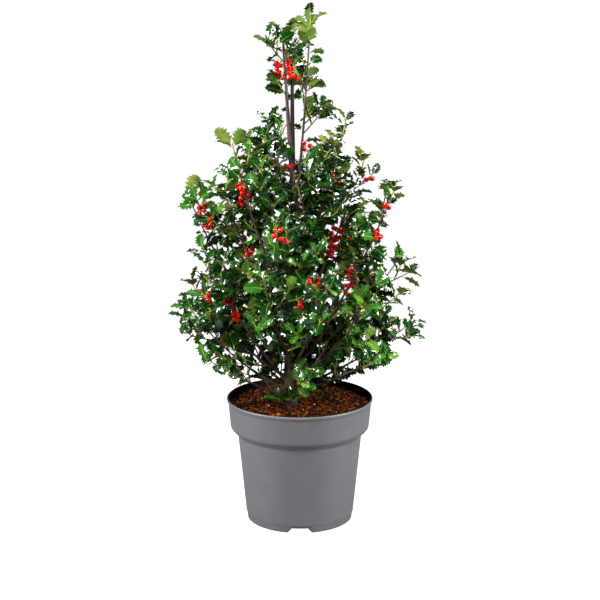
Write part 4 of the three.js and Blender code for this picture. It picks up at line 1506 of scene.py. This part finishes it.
potSizes = {
    # radius and height, from the foot's middle up to the lip and down again inside
    "outside": [
        (0, 0), (29, 0), (30, 0.8), (31, 10), (95.5, 10), (95.5, 0.6), (96.2, 0), (99.6, 0), (101, 0.4),
        (101.9, 1.4), (102.1, 2.6), (103.3, 13.6), (103.4, 14.2), (103.8, 14.6), (103.9, 15), (104, 17),
        (118.8, 166), (119, 167.5), (119.2, 169), (119.6, 170), (130.6, 180.4), (132.6, 183), (133.4, 187),
        (133.9, 191), (137, 228.4), (137.4, 231), (138.4, 233), (139.5, 234.6), (139.9, 236.2),
        (140, 237.8), (139.6, 239.2), (138.6, 240),
    ],
    "inside": [
        (137.4, 240), (136.6, 239.2), (135.9, 234), (131.5, 188), (131, 186.4), (117.2, 172),
        (116.6, 170), (99.8, 14), (98.4, 12.4), (0, 12.4),
    ],
    "sides": 192,
    "skirt": (90, 104),  # between these radii the notches are cut
    "footRadius": 100,
    "notches": 4,
    "notchFoot": 48,
    "notchTop": 30,
    "notchLean": 0.02,
    "floorHeight": 10,
    "drainLength": 26,
    "drainWidth": 9,
    "drainRadius": 70,
    "drainCut": (8.0, 16.0),
    "drainSides": 24,
}

potGrey = mottled("pot_plastic", (79, 80, 83), (86, 87, 90), 26, (0.42, 0.52), (0.06, 0.0004), fine=0.5)
# The pot's inside, drain holes too, is near black as painted shade, for the shadow that the rim and the
# crown cast on the inner wall.
potInsideShade = mottled("pot_inside", (3, 3, 3), (7, 6, 6), 60, (0.6, 0.75), (0.08, 0.0004),
                   Specular_IOR_Level=0.1)


def notchRise(angle):
    # How far the skirt's lower edge is cut away at this bearing.
    halfStep = pi / potSizes["notches"]
    turn = (angle + pi / 2 + halfStep) % (2 * halfStep) - halfStep
    off = abs(turn) * potSizes["footRadius"]
    slope = (potSizes["notchFoot"] - potSizes["notchTop"]) / 2
    return potSizes["floorHeight"] * min(1, max(0, (potSizes["notchFoot"] / 2 - off) / slope))


def makePot():
    batch = Batch()
    sides = potSizes["sides"]
    angles = [2 * pi * j / sides for j in range(sides)]
    # Extra bearings at the notches' corners keep their edges straight.
    for n in range(potSizes["notches"]):
        middle = -pi / 2 + 2 * pi * n / potSizes["notches"]
        for edge in ("notchFoot", "notchTop"):
            off = potSizes[edge] / (2 * potSizes["footRadius"])
            angles += [(middle - off) % (2 * pi), (middle + off) % (2 * pi)]
    angles = sorted(angles)
    near, far = potSizes["skirt"]
    outside, floorHeight = potSizes["outside"], potSizes["floorHeight"]
    for slot, profile in enumerate((outside, [outside[-1]] + potSizes["inside"])):
        points = []
        for r, z in profile:
            notched = not slot and near < r < far and z < floorHeight
            for angle in angles:
                if notched:
                    lift = max(z, notchRise(angle) - potSizes["notchLean"] * (floorHeight - z))
                points.append((r * cos(angle), r * sin(angle), lift if notched else z))
        batch.add(points, ringFaces(len(profile), len(angles)), slot)
    return batch.build("pot", [potGrey, potInsideShade])


def drainTool():
    # Four slots' worth of solid, to cut through the floor.
    batch = Batch()
    half, end = potSizes["drainLength"] / 2, potSizes["drainWidth"] / 2
    sides = potSizes["drainSides"]
    for n in range(potSizes["notches"]):
        turn = 2 * pi * n / potSizes["notches"]
        rings = []
        for z in potSizes["drainCut"]:
            ring = []
            for k in range(sides):
                angle = 2 * pi * k / sides
                x = cos(angle) * end + (half - end) * (1 if cos(angle) > 0 else -1)
                y = sin(angle) * end - potSizes["drainRadius"]
                ring.append((cos(turn) * x - sin(turn) * y, sin(turn) * x + cos(turn) * y, z))
            rings.append(ring)
        batch.add(rings[0] + rings[1], ringFaces(2, sides))
        batch.add(rings[0] + [np.mean(rings[0], 0)], [(sides, (k + 1) % sides, k) for k in range(sides)])
        batch.add(rings[1] + [np.mean(rings[1], 0)], [(sides, k, (k + 1) % sides) for k in range(sides)])
    return batch.build("drains", [potInsideShade], smooth=False)


def cutDrains(pot):
    tool = drainTool()
    for thing in (pot, tool):
        form = bmesh.new()
        form.from_mesh(thing.data)
        bmesh.ops.remove_doubles(form, verts=form.verts, dist=1e-6)
        bmesh.ops.dissolve_degenerate(form, edges=form.edges, dist=1e-6)
        bmesh.ops.recalc_face_normals(form, faces=form.faces)
        form.to_mesh(thing.data)
        form.free()
    cut = pot.modifiers.new("drains", "BOOLEAN")
    cut.object, cut.operation, cut.solver = tool, "DIFFERENCE", "EXACT"
    bpy.context.view_layer.update()
    whole = bpy.data.meshes.new_from_object(pot.evaluated_get(bpy.context.evaluated_depsgraph_get()))
    pot.modifiers.clear()
    pot.data = whole
    bpy.data.objects.remove(tool)


pot = makePot()
cutDrains(pot)
print("pot")


# Soil: a rough bed with bark chips on it

soilSizes = {
    "top": 223.5,
    "edge": 132.4,
    "edgeRise": 3.5,  # how much higher the soil lies at the pot's wall
    "level": 48,  # the radius that the rise starts from
    "mound": (3, 34),  # height and reach of the earth drawn up to the trunk
    "lump": 2.6,
    "lumpSize": 17,
    "lumpLayer": 3.1,  # height in the noise
    "rings": 54,
    "ringPower": 0.8,  # closer rings towards the wall
    "sides": 150,
    # the filling below, down the inside of the pot: radius and height
    "wall": [(132.4, 216), (131.0, 187), (116.3, 171), (99.2, 13), (0, 13)],
    "wallSides": 96,
}
chipSizes = {
    "count": 4600,
    "length": (2.4, 9.5),
    "width": (0.28, 0.6),  # of the length
    "thick": (1.3, 3.2),
    "rough": 0.5,  # how far the corners stray
    "spread": 0.985,  # of the soil's edge
    "small": 1.8,  # the higher, the more small chips
    "lean": 0.7,
    "lift": (0.25, 0.2),  # share of the thickness, and of a tilted length
    "overEdge": 1.5,
    "trunkClear": 17,
    "relief": (0.6, 0.0006),
    # two colours, roughness, gloss, and share of the chips up to this kind
    "dark": ((13, 5, 1), (30, 13, 4), (0.8, 0.95), 0.04, 0.4),
    "brown": ((36, 16, 4), (60, 28, 8), (0.75, 0.95), 0.04, 0.74),
    "rust": ((72, 33, 7), (116, 57, 15), (0.75, 0.92), 0.04, 0.985),
    "pale": ((134, 96, 54), (172, 136, 88), (0.7, 0.9), 0.1, 1),
}
chipKinds = ("dark", "brown", "rust", "pale")

soilBed = mottled("soil_bed", (12, 5, 2), (36, 16, 6), 260, (0.85, 0.98), (0.8, 0.002), fine=0.55,
                  Specular_IOR_Level=0.1)
chipMaterials = []
for kind in chipKinds:
    dark, light, rough, gloss = chipSizes[kind][:4]
    chipMaterials.append(mottled("chip_" + kind, dark, light, 420, rough, chipSizes["relief"],
                                 Specular_IOR_Level=gloss))
trunkSide = trunkSizes["bends"][0][1]  # where the trunk stands, to the side of the pot's middle


def soilHeight(x, y):
    level, edge = soilSizes["level"], soilSizes["edge"]
    rise = soilSizes["edgeRise"] * max(0, (hypot(x, y) - level) / (edge - level))
    size = soilSizes["lumpSize"]
    lumps = noise.fractal(Vector((x / size, y / size, soilSizes["lumpLayer"])), 1.0, 2.0, 4)
    height, reach = soilSizes["mound"]
    near = max(0, 1 - hypot(x - trunkSide, y) / reach)
    return soilSizes["top"] + rise + soilSizes["lump"] * lumps + height * near * near


def makeSoil():
    batch = Batch()
    points = []
    for i in range(soilSizes["rings"] + 1):
        r = soilSizes["edge"] * (i / soilSizes["rings"]) ** soilSizes["ringPower"]
        points += [(x, y, soilHeight(x, y)) for x, y, z in ringPoints(r, soilSizes["sides"])]
    batch.add(points, ringFaces(soilSizes["rings"] + 1, soilSizes["sides"]))
    sides = soilSizes["wallSides"]
    points = [point for r, z in soilSizes["wall"] for point in ringPoints(r, sides, z)]
    batch.add(points, [face[::-1] for face in ringFaces(len(soilSizes["wall"]), sides)])
    return batch.build("soil", [soilBed])


def makeChips():
    batch = Batch()
    draw = seeded(5021)
    corners = np.array([(-1, -1, -1), (1, -0.7, -1), (1.1, 0.8, -1), (-0.8, 1, -1),
                        (-0.8, -0.8, 1), (0.9, -0.6, 1), (0.8, 0.8, 1), (-1, 0.7, 1)], float)
    faces = [(0, 3, 2, 1), (4, 5, 6, 7), (0, 1, 5, 4), (1, 2, 6, 5), (2, 3, 7, 6), (3, 0, 4, 7)]
    shares = [chipSizes[kind][-1] for kind in chipKinds]
    flatLift, tiltLift = chipSizes["lift"]
    for chip in range(chipSizes["count"]):
        r = soilSizes["edge"] * chipSizes["spread"] * sqrt(draw())
        angle = draw() * 2 * pi
        x, y = r * cos(angle), r * sin(angle)
        if hypot(x - trunkSide, y) < chipSizes["trunkClear"]:
            continue
        length = between(chipSizes["length"], draw() ** chipSizes["small"])
        width = length * between(chipSizes["width"], draw())
        thick = min(width, between(chipSizes["thick"], draw()))
        turn, tilt, lean = draw() * 2 * pi, draw() - 0.5, (draw() - 0.5) * chipSizes["lean"]
        stray = np.array([draw() - 0.5 for i in range(24)]).reshape(8, 3)
        shape = (corners + stray * chipSizes["rough"]) * (length / 2, width / 2, thick / 2)
        axis = np.array([cos(turn) * cos(tilt), sin(turn) * cos(tilt), sin(tilt)])
        across = turned(unit(np.cross((0, 0, 1), axis)), axis, lean)
        axes = np.stack([axis, across, np.cross(axis, across)])
        height = soilHeight(x, y) + thick * flatLift + abs(sin(tilt)) * length * tiltLift
        placed = np.array([x, y, height]) + shape @ axes
        if np.hypot(placed[:, 0], placed[:, 1]).max() > soilSizes["edge"] + chipSizes["overEdge"]:
            continue
        chance = draw()
        batch.add(placed, faces, sum(chance >= share for share in shares))
    return batch.build("bark_chips", chipMaterials, smooth=False)


soil = makeSoil()
chips = makeChips()
print("soil and chips")


# Floor

floorLook = {"radius": 1500, "sides": 96, "shade": (0.15, 0.15, 0.15, 1), "rough": 0.9}


def makeFloor():
    # A round of pale paper, as white in the picture as the backdrop.
    batch = Batch()
    sides = floorLook["sides"]
    points = [(0, 0, 0)] + ringPoints(floorLook["radius"], sides)
    batch.add(points, [(0, 1 + k, 1 + (k + 1) % sides) for k in range(sides)])
    material, tree, shader = newMaterial("floor_paper")
    shader.inputs["Base Color"].default_value = floorLook["shade"]
    shader.inputs["Roughness"].default_value = floorLook["rough"]
    shader.inputs["Emission Color"].default_value = (1, 1, 1, 1)
    feed(tree, shader.inputs["Emission Strength"], addNode(tree, "LightPath").outputs["Is Camera Ray"])
    return batch.build("floor", [material], smooth=False)


floor = makeFloor()


# Every piece to its body, and what it stands for

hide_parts("pot")
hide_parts("soil")
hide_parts("trunk")
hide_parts(*[name for name in nodeNames if name.startswith("bough_")])
for region, piece in foliage.items():
    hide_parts(*["foliage_" + mass["name"] for mass in masses if mass["region"] == region])
for piece in (pot, soil, chips, trunk, boughs, twigs, berries, *foliage.values()):
    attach(piece, "root")

print("pieces placed")
